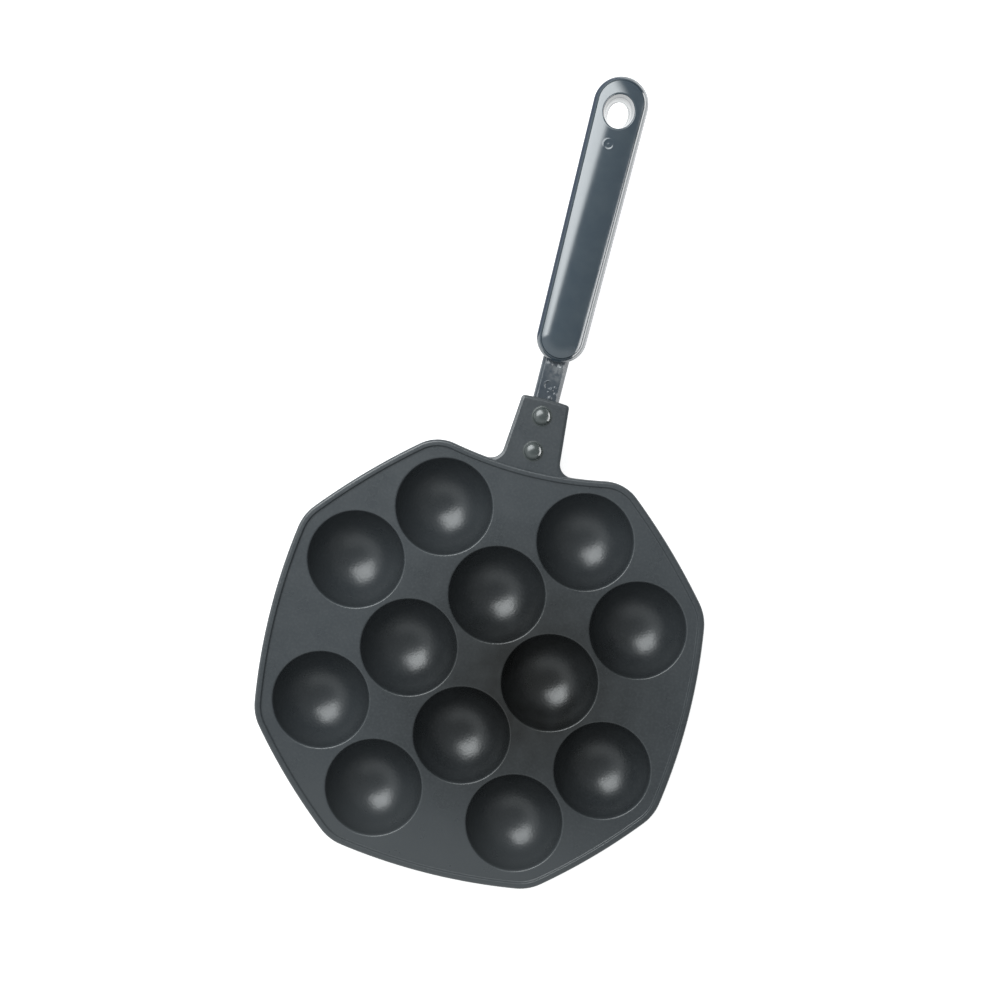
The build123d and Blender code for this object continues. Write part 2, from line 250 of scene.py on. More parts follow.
class PlanOutline:
    """Closed outline of bulged sides and rounded corners, which can be inset."""

    def __init__(self, corners: Sequence[Corner], spacing: float) -> None:
        """Works out the outline's arcs.

        Args:
            corners: corners in anticlockwise order.
            spacing: longest step between the points of a loop.
        """
        self.spacing = spacing
        following = [*corners[1:], corners[0]]
        sides = [self._side(corner, other) for corner, other in zip(corners, following)]
        fillets = [self._fillet(corners[i], sides[i - 1], sides[i]) for i in range(len(corners))]
        self.arcs: list[Arc] = []
        for fillet, side, after in zip(fillets, sides, [*fillets[1:], fillets[0]]):
            self.arcs.append(fillet)
            self.arcs.append(Arc(side.centre, side.radius, side.turn, fillet.end, after.start))

    @staticmethod
    def _side(corner: Corner, following: Corner) -> Circle:
        """Finds the circle of a side.

        Args:
            corner: the corner that it leads on from.
            following: the corner that it ends at.

        Returns:
            The side's circle.
        """
        bulge = corner.bulge or STRAIGHT
        chord = following.place - corner.place
        outward = Vector((chord.y, -chord.x)).normalized()
        radius = (chord.length_squared / 4 + bulge**2) / (2 * abs(bulge))
        turn = 1 if bulge > 0 else -1
        middle = (corner.place + following.place) / 2
        return Circle(middle - outward * turn * (radius - abs(bulge)), radius, turn)

    @staticmethod
    def _fillet(corner: Corner, before: Circle, after: Circle) -> Arc:
        """Arc that rounds a corner between two side circles.

        Args:
            corner: the corner.
            before: circle of the side that ends at it.
            after: circle of the side that starts at it.

        Returns:
            The fillet, hollow where the outline turns clockwise.
        """
        place = corner.place
        arriving, leaving = (
            side.turn * Vector((side.centre.y - place.y, place.x - side.centre.x))
            for side in (before, after)
        )
        turn = 1 if arriving.x * leaving.y - arriving.y * leaving.x > 0 else -1
        reach = before.radius - turn * before.turn * corner.rounding
        other_reach = after.radius - turn * after.turn * corner.rounding
        apart = after.centre - before.centre
        along = (apart.length_squared + reach**2 - other_reach**2) / (2 * apart.length)
        axis = apart.normalized()
        foot = before.centre + axis * along
        across = Vector((-axis.y, axis.x)) * half_chord(reach, along)
        centre = min((foot + across, foot - across), key=lambda p: (p - place).length)
        start, end = (
            side.centre + (centre - side.centre).normalized() * side.radius
            for side in (before, after)
        )
        return Arc(centre, corner.rounding, turn, start, end)

    def loop(self, inset: float, height: float) -> Row:
        """Closed loop of points at an inset and a height."""
        return raised([p for arc in self.arcs for p in arc.points(inset, self.spacing)], height)


# ---- Mesh making ----


class Shell:
    """Gathers grids and flat fills of points, and welds them into one closed mesh."""

    def __init__(self) -> None:
        """Starts with no faces."""
        self.mesh = bmesh.new()

    def grid(self, rows: Sequence[Row], closed: bool = True) -> None:
        """Adds faces between neighbouring rows of as many points.

        Args:
            rows: rows of points.
            closed: whether a row's last point joins its first.
        """
        made = [[self.mesh.verts.new(point) for point in row] for row in rows]
        count = len(made[0])
        for low, high in zip(made, made[1:]):
            for i in range(count if closed else count - 1):
                j = (i + 1) % count
                self.mesh.faces.new((low[i], low[j], high[j], high[i]))

    def fill(
        self,
        loops: Sequence[Row],
        keep: Callable[[Row], bool] | None = None,
        place: Place = unmoved,
    ) -> None:
        """Adds a flat face set inside the first loop, up to the other chains of points.

        Args:
            loops: chains of points at one height. The first is closed, and so is each other
                whose ends meet.
            keep: says whether a triangle with these corners stays. Without it, all stay.
            place: carries a point from the fill's own frame to the part's.
        """
        points: list[Vector] = []
        edges: list[tuple[int, int]] = []
        for loop in loops:
            first = len(points)
            points += [point.xy for point in loop]
            edges += [(first + i, first + i + 1) for i in range(len(loop) - 1)]
            if loop is loops[0]:
                edges.append((first + len(loop) - 1, first))
        flat, _, faces, _, _, _ = delaunay_2d_cdt(points, edges, [], 1, WELD)
        made = [self.mesh.verts.new(place(point)) for point in raised(flat, loops[0][0].z)]
        for face in faces:
            if keep is None or keep([flat[i] for i in face]):
                self.mesh.faces.new([made[i] for i in face])

    def take(self, piece: bpy.types.Object) -> None:
        """Takes in the mesh of an object, which is removed."""
        self.mesh.from_mesh(piece.data)
        bpy.data.objects.remove(piece)

    def object(self, name: str, crease: float = 38.0) -> bpy.types.Object:
        """Welds the points, turns the faces outwards and makes the object.

        Args:
            name: the object's name.
            crease: edges that turn by more degrees than this stay sharp.

        Returns:
            The object, linked to the scene.
        """
        bmesh.ops.remove_doubles(self.mesh, verts=self.mesh.verts, dist=WELD)
        bmesh.ops.dissolve_degenerate(self.mesh, edges=self.mesh.edges, dist=WELD)
        loose = [vertex for vertex in self.mesh.verts if not vertex.link_faces]
        bmesh.ops.delete(self.mesh, geom=loose, context="VERTS")
        bmesh.ops.recalc_face_normals(self.mesh, faces=self.mesh.faces)
        data = bpy.data.meshes.new(name)
        self.mesh.to_mesh(data)
        self.mesh.free()
        piece = new_object(name, data)
        smooth(piece, crease)
        return piece


def outside_rings(centres: Iterable[Vector], reach: float) -> Callable[[Row], bool]:
    """Makes a test for the triangles that lie outside every ring about some centres.

    Args:
        centres: middles of the rings.
        reach: their radius. Their points lie on it, and so their sides cut a little inside.

    Returns:
        The test of a triangle's corners.
    """
    well_inside = reach * RING_INSIDE

    def outside(corners: Row) -> bool:
        """Tests one triangle.

        Args:
            corners: its corners.

        Returns:
            Whether it lies outside every ring.
        """
        middle = middle_of(corners)
        for centre in centres:
            if (middle - centre).length < well_inside:
                return False
            if all((corner - centre).length < reach + WELD for corner in corners):
                return False
        return True

    return outside


def new_object(name: str, data: bpy.types.ID) -> bpy.types.Object:
    """Makes an object and links it to the scene.

    Args:
        name: its name.
        data: its mesh, lamp or camera.

    Returns:
        The object.
    """
    piece = bpy.data.objects.new(name, data)
    bpy.context.scene.collection.objects.link(piece)
    return piece


def smooth(piece: bpy.types.Object, crease: float) -> None:
    """Shades a mesh smooth, apart from edges that turn by more than crease degrees."""
    piece.data.shade_smooth()
    piece.data.set_sharp_from_angle(angle=math.radians(crease))


def settle(piece: bpy.types.Object) -> bpy.types.Object:
    """Turns what a piece's modifiers make into its own plain mesh.

    Args:
        piece: the piece, which loses its modifiers.

    Returns:
        The same piece.
    """
    bpy.context.view_layer.update()
    graph = bpy.context.evaluated_depsgraph_get()
    data = bpy.data.meshes.new_from_object(piece.evaluated_get(graph))
    piece.modifiers.clear()
    piece.data = data
    return piece


def combine(piece: bpy.types.Object, tool: bpy.types.Object, how: Join) -> bpy.types.Object:
    """Joins a tool solid to a piece, or cuts it out of the piece.

    Args:
        piece: the piece.
        tool: the tool solid, which is removed.
        how: whether it is joined or cut.

    Returns:
        The same piece.
    """
    boolean = piece.modifiers.new(how.name, "BOOLEAN")
    boolean.operation = how.value
    boolean.solver = "EXACT"
    boolean.object = tool
    settle(piece)
    bpy.data.objects.remove(tool)
    return piece


def even_normals(piece: bpy.types.Object) -> None:
    """Keeps large flat faces flat in the shading where they meet roundings.

    Args:
        piece: the piece, whose sharp edges stay sharp.
    """
    weighted = piece.modifiers.new("even normals", "WEIGHTED_NORMAL")
    weighted.keep_sharp = True
    settle(piece)


def turned(profile: Sequence[Vector], segments: int, place: Place = unmoved) -> Shell:
    """Revolves a profile of radius and height about its axis.

    Args:
        profile: points from the top of the axis to its bottom.
        segments: steps round the axis.
        place: carries a point from the axis's own frame to the part's.

    Returns:
        The shell of revolution.
    """
    rows = []
    for p in profile:
        ring = arc_path((0, 0), p.x, 0, math.tau, segments)[:-1]
        rows.append([place(point) for point in raised(ring, p.y)])
    shell = Shell()
    shell.grid(rows)
    return shell


def block(size: Vector, place: Place) -> bpy.types.Object:
    """Makes a plain block with its corners from the origin to size.

    Args:
        size: its length along each axis.
        place: carries a point from the block's own frame to the part's.

    Returns:
        The block.
    """
    plan = [Vector(corner) for corner in ((0, 0), (size.x, 0), size.xy, (0, size.y))]
    low = raised(plan)
    high = raised(plan, size.z)
    shell = Shell()
    shell.grid([[place(p) for p in low], [place(p) for p in high]])
    shell.fill([low], place=place)
    shell.fill([high], place=place)
    return shell.object("block")


# ---- Node trees ----


class Nodes:
    """Adds nodes to a tree and joins them up."""

    def __init__(self, tree: bpy.types.NodeTree) -> None:
        """Takes the tree."""
        self.tree = tree

    def feed(self, socket: Socket, value: object) -> None:
        """Links an input to another socket, or gives it a value of its own.

        Args:
            socket: the input.
            value: the other socket, or the value.
        """
        if isinstance(value, Socket):
            self.tree.links.new(value, socket)
        else:
            socket.default_value = value

    def add(
        self,
        kind: str,
        inputs: dict[str | int, object] | None = None,
        output: str | int = 0,
        **settings: object,
    ) -> Socket:
        """Adds a node.

        Args:
            kind: the node's type.
            inputs: what its inputs take, by name or place: another socket, or a value.
            output: name or place of the output that is wanted.
            settings: its properties.

        Returns:
            The wanted output.
        """
        node = self.tree.nodes.new(kind)
        for key, value in settings.items():
            setattr(node, key, value)
        for key, value in (inputs or {}).items():
            self.feed(node.inputs[key], value)
        return node.outputs[output]

    def calc(self, operation: str, first: object, second: object) -> Socket:
        """Works out a value from two sockets or numbers."""
        return self.add("ShaderNodeMath", {0: first, 1: second}, operation=operation)

    def axis(self, vector: Socket, name: str) -> Socket:
        """One axis of a vector."""
        return self.add("ShaderNodeSeparateXYZ", {"Vector": vector}, name)

    def remap(
        self,
        value: Socket,
        given: Span,
        made: Span = (0.0, 1.0),
        curve: Curve = Curve.STRAIGHT,
    ) -> Socket:
        """Carries a value from one range to another, clamped.

        Args:
            value: the value.
            given: ends of the range that it comes from.
            made: ends of the range that it goes to.
            curve: how it passes between them.

        Returns:
            The carried value.
        """
        ends = zip(("From Min", "From Max", "To Min", "To Max"), (*given, *made))
        inputs = {"Value": value, **dict(ends)}
        return self.add("ShaderNodeMapRange", inputs, interpolation_type=curve.value)

    def blend(self, amount: Socket, first: object, second: object) -> Socket:
        """Mixes two colours.

        Args:
            amount: share of the second colour.
            first: a colour, or a socket.
            second: a colour, or a socket.

        Returns:
            The mixed colour.
        """
        a, b = (value if isinstance(value, Socket) else (*value, 1) for value in (first, second))
        inputs = {0: amount, 6: a, 7: b}  # the node's own places for its colours
        return self.add("ShaderNodeMix", inputs, 2, data_type="RGBA")


class Pattern(Nodes):
    """Geometry node tree that repeats the piece on which it is used."""

    def __init__(self, name: str) -> None:
        """Makes a tree with a geometry input and output.

        Args:
            name: its name.
        """
        super().__init__(bpy.data.node_groups.new(name, "GeometryNodeTree"))
        self.tree.is_modifier = True
        self.source = self.tree.nodes.new("NodeGroupInput")
        self.identifiers: dict[str, str] = {}
        self.piece = self.input("Geometry", "NodeSocketGeometry")
        self.tree.interface.new_socket(
            "Geometry", in_out="OUTPUT", socket_type="NodeSocketGeometry"
        )

    def input(self, name: str, kind: str) -> Socket:
        """Adds a named input.

        Args:
            name: its name.
            kind: its socket type.

        Returns:
            The socket that carries it into the tree.
        """
        made = self.tree.interface.new_socket(name, in_out="INPUT", socket_type=kind)
        self.identifiers[name] = made.identifier
        return self.source.outputs[name]

    def close(self, points: Socket) -> None:
        """Puts the piece on each point, makes the copies real and gives them a material.

        Args:
            points: geometry whose points carry the copies.
        """
        inputs = {"Points": points, "Instance": self.piece}
        placed = self.add("GeometryNodeInstanceOnPoints", inputs)
        real = self.add("GeometryNodeRealizeInstances", {"Geometry": placed})
        material = self.input("Material", "NodeSocketMaterial")
        dressed = self.add("GeometryNodeSetMaterial", {"Geometry": real, "Material": material})
        out = self.tree.nodes.new("NodeGroupOutput")
        self.feed(out.inputs["Geometry"], dressed)

    def apply(self, piece: bpy.types.Object, **values: object) -> bpy.types.Object:
        """Runs the tree on a piece and keeps the result as its plain mesh.

        Args:
            piece: the piece that is repeated.
            values: values of the named inputs, with underscores for spaces.

        Returns:
            The same piece, with the repeated mesh.
        """
        modifier = piece.modifiers.new(self.tree.name, "NODES")
        modifier.node_group = self.tree
        for key, value in values.items():
            modifier[self.identifiers[key.replace("_", " ")]] = value
        return settle(piece)


def bowl_field() -> Pattern:
    """Pattern that stands a bowl on each point of a square field turned on a corner.

    Returns:
        A pattern with the inputs Pitch, Side Count, Corner Reach and Centre. Points farther from
        the middle than Corner Reach are left out.
    """
    pattern = Pattern("bowl field")
    pitch = pattern.input("Pitch", "NodeSocketFloat")
    count = pattern.input("Side Count", "NodeSocketInt")
    reach = pattern.input("Corner Reach", "NodeSocketFloat")
    centre = pattern.input("Centre", "NodeSocketVector")
    side = pattern.calc("MULTIPLY", pitch, pattern.calc("SUBTRACT", count, 1))
    grid = pattern.add(
        "GeometryNodeMeshGrid",
        {"Size X": side, "Size Y": side, "Vertices X": count, "Vertices Y": count},
    )
    position = pattern.add("GeometryNodeInputPosition")
    length = pattern.add("ShaderNodeVectorMath", {0: position}, "Value", operation="LENGTH")
    far = pattern.add(
        "FunctionNodeCompare", {0: length, 1: reach}, data_type="FLOAT", operation="GREATER_THAN"
    )
    kept = pattern.add(
        "GeometryNodeDeleteGeometry", {"Geometry": grid, "Selection": far}, domain="POINT"
    )
    placed = pattern.add(
        "GeometryNodeTransform",
        {"Geometry": kept, "Translation": centre, "Rotation": (0, 0, math.radians(45))},
    )
    pattern.close(placed)
    return pattern


def fastener_row() -> Pattern:
    """Pattern that repeats a fastener along a line.

    Returns:
        A pattern with the inputs Count and Step.
    """
    pattern = Pattern("fastener row")
    count = pattern.input("Count", "NodeSocketInt")
    step = pattern.input("Step", "NodeSocketVector")
    pattern.close(pattern.add("GeometryNodeMeshLine", {"Count": count, "Offset": step}))
    return pattern


# ---- Finishes ----


class Surface(Nodes):
    """Nodes of a material round one Principled shader, which reads Object coordinates."""

    def __init__(self, name: str) -> None:
        """Makes the material.

        Args:
            name: its name.
        """
        self.material = bpy.data.materials.new(name)
        self.material.use_nodes = True
        super().__init__(self.material.node_tree)
        self.place = self.add("ShaderNodeTexCoord", output="Object")

    def noise(self, grain: float, detail: float, roughness: float = 0.5) -> Socket:
        """Noise of a grain size in metres, as a value about 0.5."""
        inputs = {"Scale": 1 / grain, "Detail": detail, "Roughness": roughness}
        return self.add("ShaderNodeTexNoise", {"Vector": self.place, **inputs}, "Fac")

    def ball(self, centre: Point, radius: float) -> Socket:
        """Value that falls from 1 at a centre to 0 at a radius from it.

        Args:
            centre: the centre.
            radius: the radius.

        Returns:
            The value.
        """
        inputs = {"Location": [-c / radius for c in centre], "Scale": [1 / radius] * 3}
        away = self.add("ShaderNodeMapping", {"Vector": self.place, **inputs})
        return self.add("ShaderNodeTexGradient", {"Vector": away}, "Fac", gradient_type="SPHERICAL")

    def bump(self, height: Socket, strength: float, distance: float) -> Socket:
        """Normal of a relief, with its strength and the height in metres of one unit."""
        inputs = {"Height": height, "Strength": strength, "Distance": distance}
        return self.add("ShaderNodeBump", inputs)

    def finish(self, **inputs: object) -> bpy.types.Material:
        """Feeds the shader.

        Args:
            inputs: its inputs, with underscores for spaces, and what each takes: a socket, or a
                constant that is set on the input itself.

        Returns:
            The material.
        """
        shader = self.tree.nodes["Principled BSDF"]
        for key, value in inputs.items():
            self.feed(shader.inputs[key.replace("_", " ")], value)
        return self.material


@dataclass(frozen=True)
class Coating:
    """Sprayed non-stick coating with a fine sandy grain.

    It is painted darkest in the middle of the plate, a painted reflection of the dark camera
    overhead, and it is paler towards the near side. The bowls are painted darker than the plate
    round them, a painted shade in their hollows.
    """

    name: str = "non-stick coating"
    dark: Colour = (0.0145, 0.015, 0.0145)
    pale: Colour = (0.0605, 0.069, 0.0765)
    speck: Colour = (0.086, 0.095, 0.101)
    near_pale: Colour = (0.095, 0.104, 0.110)
    near_pale_from: Span = (-122 * MM, -172 * MM)  # where the paling starts and is full, along Y
    bowl_shade: float = 0.7  # share of the colour that the painted shade leaves in the bowls
    bowl_shade_from: Span | None = None  # where the painted shade in the bowls starts and is full, along Z
    centre: Point = (0, 0, 0)  # middle of the painted reflection that darkens the plate
    reach: float = 112 * MM
    fade: Span = (0.32, 0.87)  # closeness to the centre, at the palest and at the darkest
    cloud: float = 11 * MM
    cloud_detail: float = 3
    cloud_roughness: float = 0.55
    cloud_band: Span = (0.35, 0.75)
    cloud_share: float = 0.22
    grain: float = 1.1 * MM
    grain_detail: float = 1
    grain_roughness: float = 0.45
    grain_band: Span = (0.45, 0.7)
    grain_share: float = 0.5
    grain_height: float = 0.05 * MM
    smoothness: Span = (0.26, 0.33)
    depth: float = 1.7  # index of refraction

    def material(self) -> bpy.types.Material:
        """Builds the material."""
        surface = Surface(self.name)
        sand = surface.noise(self.grain, self.grain_detail, self.grain_roughness)
        cloud = surface.noise(self.cloud, self.cloud_detail, self.cloud_roughness)
        # painted reflection: darkest about the centre, paler outwards
        outward = surface.remap(surface.ball(self.centre, self.reach), self.fade, (1.0, 0.0))
        colour = surface.blend(outward, self.dark, self.pale)
        # paler towards the near side, along -Y
        near_paling = surface.remap(surface.axis(surface.place, "Y"), self.near_pale_from, curve=Curve.EASED)
        colour = surface.blend(near_paling, colour, self.near_pale)
        clouds = surface.remap(cloud, self.cloud_band, (0.0, self.cloud_share))
        colour = surface.blend(clouds, colour, self.speck)
        grains = surface.remap(sand, self.grain_band, (0.0, self.grain_share))
        colour = surface.blend(surface.calc("MULTIPLY", grains, outward), colour, self.speck)
        # painted shade: darker down into the bowls, where shade falls in the hollows
        if self.bowl_shade_from:
            height = surface.axis(surface.place, "Z")
            bowl_shading = surface.remap(height, self.bowl_shade_from, (0.0, 1.0 - self.bowl_shade), Curve.EASED)
            colour = surface.blend(bowl_shading, colour, BLACK)
        return surface.finish(
            Base_Color=colour,
            Roughness=surface.remap(cloud, NOISE_BAND, self.smoothness),
            Normal=surface.bump(sand, 1.0, self.grain_height),
            IOR=self.depth,
        )


@dataclass(frozen=True)
class CloudedFinish:
    """Finish of two tones that pass into each other in clouds, over a slight relief."""

    name: str
    tone: Colour
    cloud_tone: Colour
    cloud: float  # size of the clouds
    cloud_detail: float
    cloud_band: Span  # noise at the plain tone and at the full cloud
    smoothness: Span
    relief: float  # size of the relief's grain
    relief_detail: float
    relief_strength: float
    relief_height: float
    depth: float = 1.5  # index of refraction
    metallic: float = 0.0

    def _colour(self, surface: Surface, cloud: Socket) -> Socket:
        """Colour of the finish, from its clouds."""
        return surface.blend(surface.remap(cloud, self.cloud_band), self.tone, self.cloud_tone)

    def material(self) -> bpy.types.Material:
        """Builds the material."""
        surface = Surface(self.name)
        cloud = surface.noise(self.cloud, self.cloud_detail)
        relief = surface.noise(self.relief, self.relief_detail)
        return surface.finish(
            Base_Color=self._colour(surface, cloud),
            Roughness=surface.remap(cloud, NOISE_BAND, self.smoothness),
            Normal=surface.bump(relief, self.relief_strength, self.relief_height),
            IOR=self.depth,
            Metallic=self.metallic,
        )


@dataclass(frozen=True)
class Paint(CloudedFinish):
    """Glossy dark slate paint on pressed steel, with a painted reflection in pale patches."""

    name: str = "slate paint"
    tone: Colour = (0.062, 0.076, 0.094)
    cloud_tone: Colour = (0.10, 0.115, 0.132)
    cloud: float = 5 * MM
    cloud_detail: float = 2
    cloud_band: Span = (0.3, 0.75)
    smoothness: Span = (0.15, 0.24)
    relief: float = 1.4 * MM
    relief_detail: float = 1
    relief_strength: float = 0.3
    relief_height: float = 0.03 * MM
    depth: float = 1.6
    grip_reflection_tone: Colour = (0.27, 0.28, 0.29)
    grip_reflection_at: Point = (2.5 * MM, 47 * MM, 20 * MM)
    grip_reflection_reach: float = 9 * MM
    grip_reflection_fade: Span = (0.25, 0.9)  # closeness to the place, at no patch and at a full one
    grip_reflection_share: float = 0.85
    patch: float = 2.2 * MM
    patch_detail: float = 2
    patch_band: Span = (0.38, 0.6)
    patch_least: float = 0.1

    def _colour(self, surface: Surface, cloud: Socket) -> Socket:
        """Colour of the paint, with its pale patches of painted reflection near the grip's end.

        Args:
            surface: the material's nodes.
            cloud: noise of the clouds.

        Returns:
            The colour.
        """
        # painted reflection: pale patches about one place, for the grip's end seen in the paint
        closeness = surface.ball(self.grip_reflection_at, self.grip_reflection_reach)
        near = surface.remap(closeness, self.grip_reflection_fade, (0.0, self.grip_reflection_share))
        cover = surface.noise(self.patch, self.patch_detail)
        patches = surface.remap(cover, self.patch_band, (self.patch_least, 1.0))
        grip_reflection_mask = surface.calc("MULTIPLY", near, patches)
        return surface.blend(grip_reflection_mask, super()._colour(surface, cloud), self.grip_reflection_tone)


@dataclass(frozen=True)
class Phenolic(CloudedFinish):
    """Black moulded phenolic with a deep gloss and a faint bloom."""

    name: str = "black phenolic"
    tone: Colour = (0.048, 0.070, 0.092)
    cloud_tone: Colour = (0.060, 0.082, 0.102)
    cloud: float = 9 * MM
    cloud_detail: float = 3
    cloud_band: Span = (0.35, 0.7)
    smoothness: Span = (0.09, 0.13)
    relief: float = 7 * MM
    relief_detail: float = 0
    relief_strength: float = 0.06
    relief_height: float = 0.03 * MM
    depth: float = 2.0


@dataclass(frozen=True)
class Metal(CloudedFinish):
    """Bare metal of small parts, with a fine turned or plated grain."""

    cloud: float = 1.2 * MM
    cloud_detail: float = 3
    cloud_band: Span = (0.4, 0.75)
    smoothness: Span = (0.28, 0.42)
    relief: float = 0.25 * MM
    relief_detail: float = 2
    relief_strength: float = 0.2
    relief_height: float = 0.01 * MM
    metallic: float = 1.0


def dress(piece: bpy.types.Object, material: bpy.types.Material) -> None:
    """Gives every face of a piece one material."""
    piece.data.materials.clear()
    piece.data.materials.append(material)


def hand_over(piece: bpy.types.Object, slot: str, *nodes: str) -> None:
    """Rides a finished piece on the part's body and reports it.

    Args:
        piece: the piece.
        slot: its material slot in the record; not used.
        nodes: CAD nodes whose place it takes.
    """
    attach(piece, BODY)
    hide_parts(*nodes)
    LOG.info("%s: %d faces, for %s", piece.name, len(piece.data.polygons), ", ".join(nodes))


# ---- Pan casting ----


@dataclass
class PanCasting:
    """Plate with a raised rim and skirt, round bowls, feet and lug, cast as one.

    Places come from the casting's solid: it is as wide as the plate is long.
    """

    bowl_mouth: float = 40 * MM
    bowl_depth: float = 19 * MM
    bowl_web: float = 2.5 * MM
    bowl_wall: float = 3.6 * MM
    bowl_floor: float = 3 * MM
    lip_round: float = 0.8 * MM
    side_count: int = 4
    corner_margin: float = 8.6 * MM
    main_bulge: float = 3.7 * MM
    diagonal_bulge: float = 1.8 * MM
    corner_round: float = 20 * MM
    neck_dip: float = 6 * MM
    neck_turn: float = 2.4
    neck_extra: float = 0.9 * MM
    neck_round: float = 17 * MM
    plate_thickness: float = 4 * MM
    rim_width: float = 2 * MM
    rim_slope: float = 1.4 * MM
    rim_ease: float = 0.45 * MM  # by which the slope is narrower than the solid's, each end
    rim_round: float = 1.25 * MM
    slope_foot: float = 0.5 * MM  # radius at the slope's lower end
    slope_crest: float = 0.4 * MM  # radius at its upper end
    flank_round: float = 8 * MM
    skirt_depth: float = 7 * MM
    skirt_wall: float = 2.5 * MM  # thinner than the solid's, clear of the domes
    skirt_draw: float = 0.4 * MM
    skirt_round: float = 0.5 * MM
    lug_reach: float = 29.4 * MM
    lug_root_width: float = 25 * MM
    lug_end_width: float = 20 * MM
    lug_end_bulge: float = 0.5 * MM
    lug_end_round: float = 1.4 * MM  # a little more than the bevel takes off
    lug_root_fillet: float = 5.5 * MM
    lug_rise: float = 0.3 * MM
    lug_bevel: float = 1.2 * MM
    lug_bevel_drop: float = 0.5 * MM
    lug_flat: float = 0.18 * MM  # of the top, inside the bevel's rounding
    lug_foot: float = 1.2 * MM  # of the underside, to the lower edge
    lug_edge_round: float = 0.6 * MM
    lug_side_round: float = 0.5 * MM
    lug_overlap: float = 2 * MM  # how far it runs into the plate
    lug_inner_round: float = 3 * MM  # of its corners inside the plate
    seat_depth: float = 1 * MM
    seat_width: float = 11.4 * MM
    seat_start: float = 2.9 * MM
    clear: float = 0.03 * MM  # kept inside the solid's own facets
    spacing: float = 1.6 * MM
    lug_spacing: float = 0.7 * MM
    bowl_segments: int = 96
    bowl_rows: int = 26
    lip_rows: int = 7
    dome_segments: int = 72
    dome_rows: int = 14
    neighbour_reach: float = 1.1  # pitches, more than one and less than a diagonal
    crease: float = 38.0

    def __post_init__(self) -> None:
        """Works out the places that follow from the sizes and from the frame."""
        low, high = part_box("pan_casting")
        self.centre = Vector((0, low.y + high.x))
        self.rim_top = high.z
        self.plate_top = self.bowl_depth + self.bowl_floor
        self.underside = self.plate_top - self.plate_thickness
        self.skirt_edge = self.underside - self.skirt_depth
        self.lug_top = self.plate_top + self.lug_rise
        self.pitch = self.bowl_mouth + self.bowl_web
        self.bowl_radius = cap_radius(self.bowl_mouth / 2, self.bowl_depth)
        self.bowl_middle = self.bowl_floor + self.bowl_radius
        self.lip_height = self.plate_top - self.lip_round
        self.lip_drop = self.bowl_middle - self.lip_height
        self.lip_reach = half_chord(self.bowl_radius + self.lip_round, self.lip_drop)
        self.dome_radius = self.bowl_radius + self.bowl_wall
        self.dome_reach = half_chord(self.dome_radius, self.bowl_middle - self.underside)
        self.foot_reach = half_chord(self.dome_radius, self.bowl_middle)
        step = self.pitch * math.cos(math.radians(45))
        middle = (self.side_count - 1) / 2
        places = [i - middle for i in range(self.side_count)]
        self.bowls = [
            self.centre + Vector((i - j, i + j)) * step
            for i in places
            for j in places
            if abs(i) + abs(j) < 2 * middle
        ]
        self.corner_angle = math.degrees(math.atan2(1, 2))
        self.corner_reach = math.hypot(1, 2) * step + self.bowl_mouth / 2 + self.corner_margin
        plate_half = self.corner_reach * math.cos(math.radians(self.corner_angle)) + self.main_bulge
        self.neck = self.centre.y + plate_half - self.neck_dip
        self.lug_end = self.neck + self.lug_reach

    def _corner(self, reach: float, angle: float) -> Vector:
        """Plan point at a distance from the pan's centre, the angle counted from +Y to +X."""
        turn = math.radians(angle)
        return self.centre + reach * Vector((math.sin(turn), math.cos(turn)))

    def _outline(self) -> PlanOutline:
        """Plate outline: seven bulged sides, and a hollow one under the lug."""
        angles = [a * 90 + side * self.corner_angle for a in range(4) for side in (-1, 1)]
        angles = sorted((angle % 360 for angle in angles), reverse=True)
        last = len(angles) - 1
        corners = []
        for index, angle in enumerate(angles):
            bulge = self.main_bulge if index % 2 else self.diagonal_bulge
            if index not in (0, last):
                place = self._corner(self.corner_reach, angle)
                corners.append(Corner(place, self.corner_round, bulge))
                continue
            turn = self.neck_turn if angle > 180 else -self.neck_turn
            place = self._corner(self.corner_reach + self.neck_extra, angle + turn)
            if index == last:
                bulge = self.neck - place.y
            corners.append(Corner(place, self.neck_round, bulge))
        return PlanOutline(corners, self.spacing)

    def _rim_profile(self) -> list[Vector]:
        """Inset and height from the tray, over the rim and down the skirt, to the underside."""
        return softened(
            (
                (self.rim_width + 2 * self.rim_slope, self.plate_top, 0),
                (self.rim_width + self.rim_slope - self.rim_ease, self.plate_top, self.slope_foot),
                (self.rim_width + self.rim_ease, self.rim_top, self.slope_crest),
                (self.clear, self.rim_top, self.rim_round),
                (self.clear, self.underside, self.flank_round),
                (self.skirt_draw, self.skirt_edge, self.skirt_round),
                (self.skirt_wall, self.skirt_edge, self.skirt_round),
                (self.skirt_wall, self.underside, 0),
            )
        )

    def _bowl(self) -> Shell:
        """Inside of one bowl about the origin, from its rounded lip to its pole."""
        lean = math.atan2(self.lip_drop, self.lip_reach)
        lip_centre = (self.lip_reach, self.lip_height)
        lip = arc_path(lip_centre, self.lip_round, QUARTER, math.pi - lean, self.lip_rows)
        inside = arc_path((0, self.bowl_middle), self.bowl_radius, -lean, -QUARTER, self.bowl_rows)
        return turned(lip + inside[1:], self.bowl_segments)

    def _mouth(self, bowl: Vector) -> Row:
        """Closed chain of points round a bowl's lip, in the plate's top."""
        ring = arc_path(bowl, self.lip_reach, 0, math.tau, self.bowl_segments)
        return raised(ring[:-1] + ring[:1], self.plate_top)

    def _dome_angles(self) -> list[float]:
        """Angles round a dome, with one where it meets each neighbour in the underside."""
        meet = math.acos(self.pitch / 2 / self.dome_reach)
        angles = {round(math.tau * i / self.dome_segments, 9) for i in range(self.dome_segments)}
        for quarter in range(4):
            towards = math.radians(45 + 90 * quarter)
            angles |= {round((towards + side * meet) % math.tau, 9) for side in (-1, 1)}
        return sorted(angles)

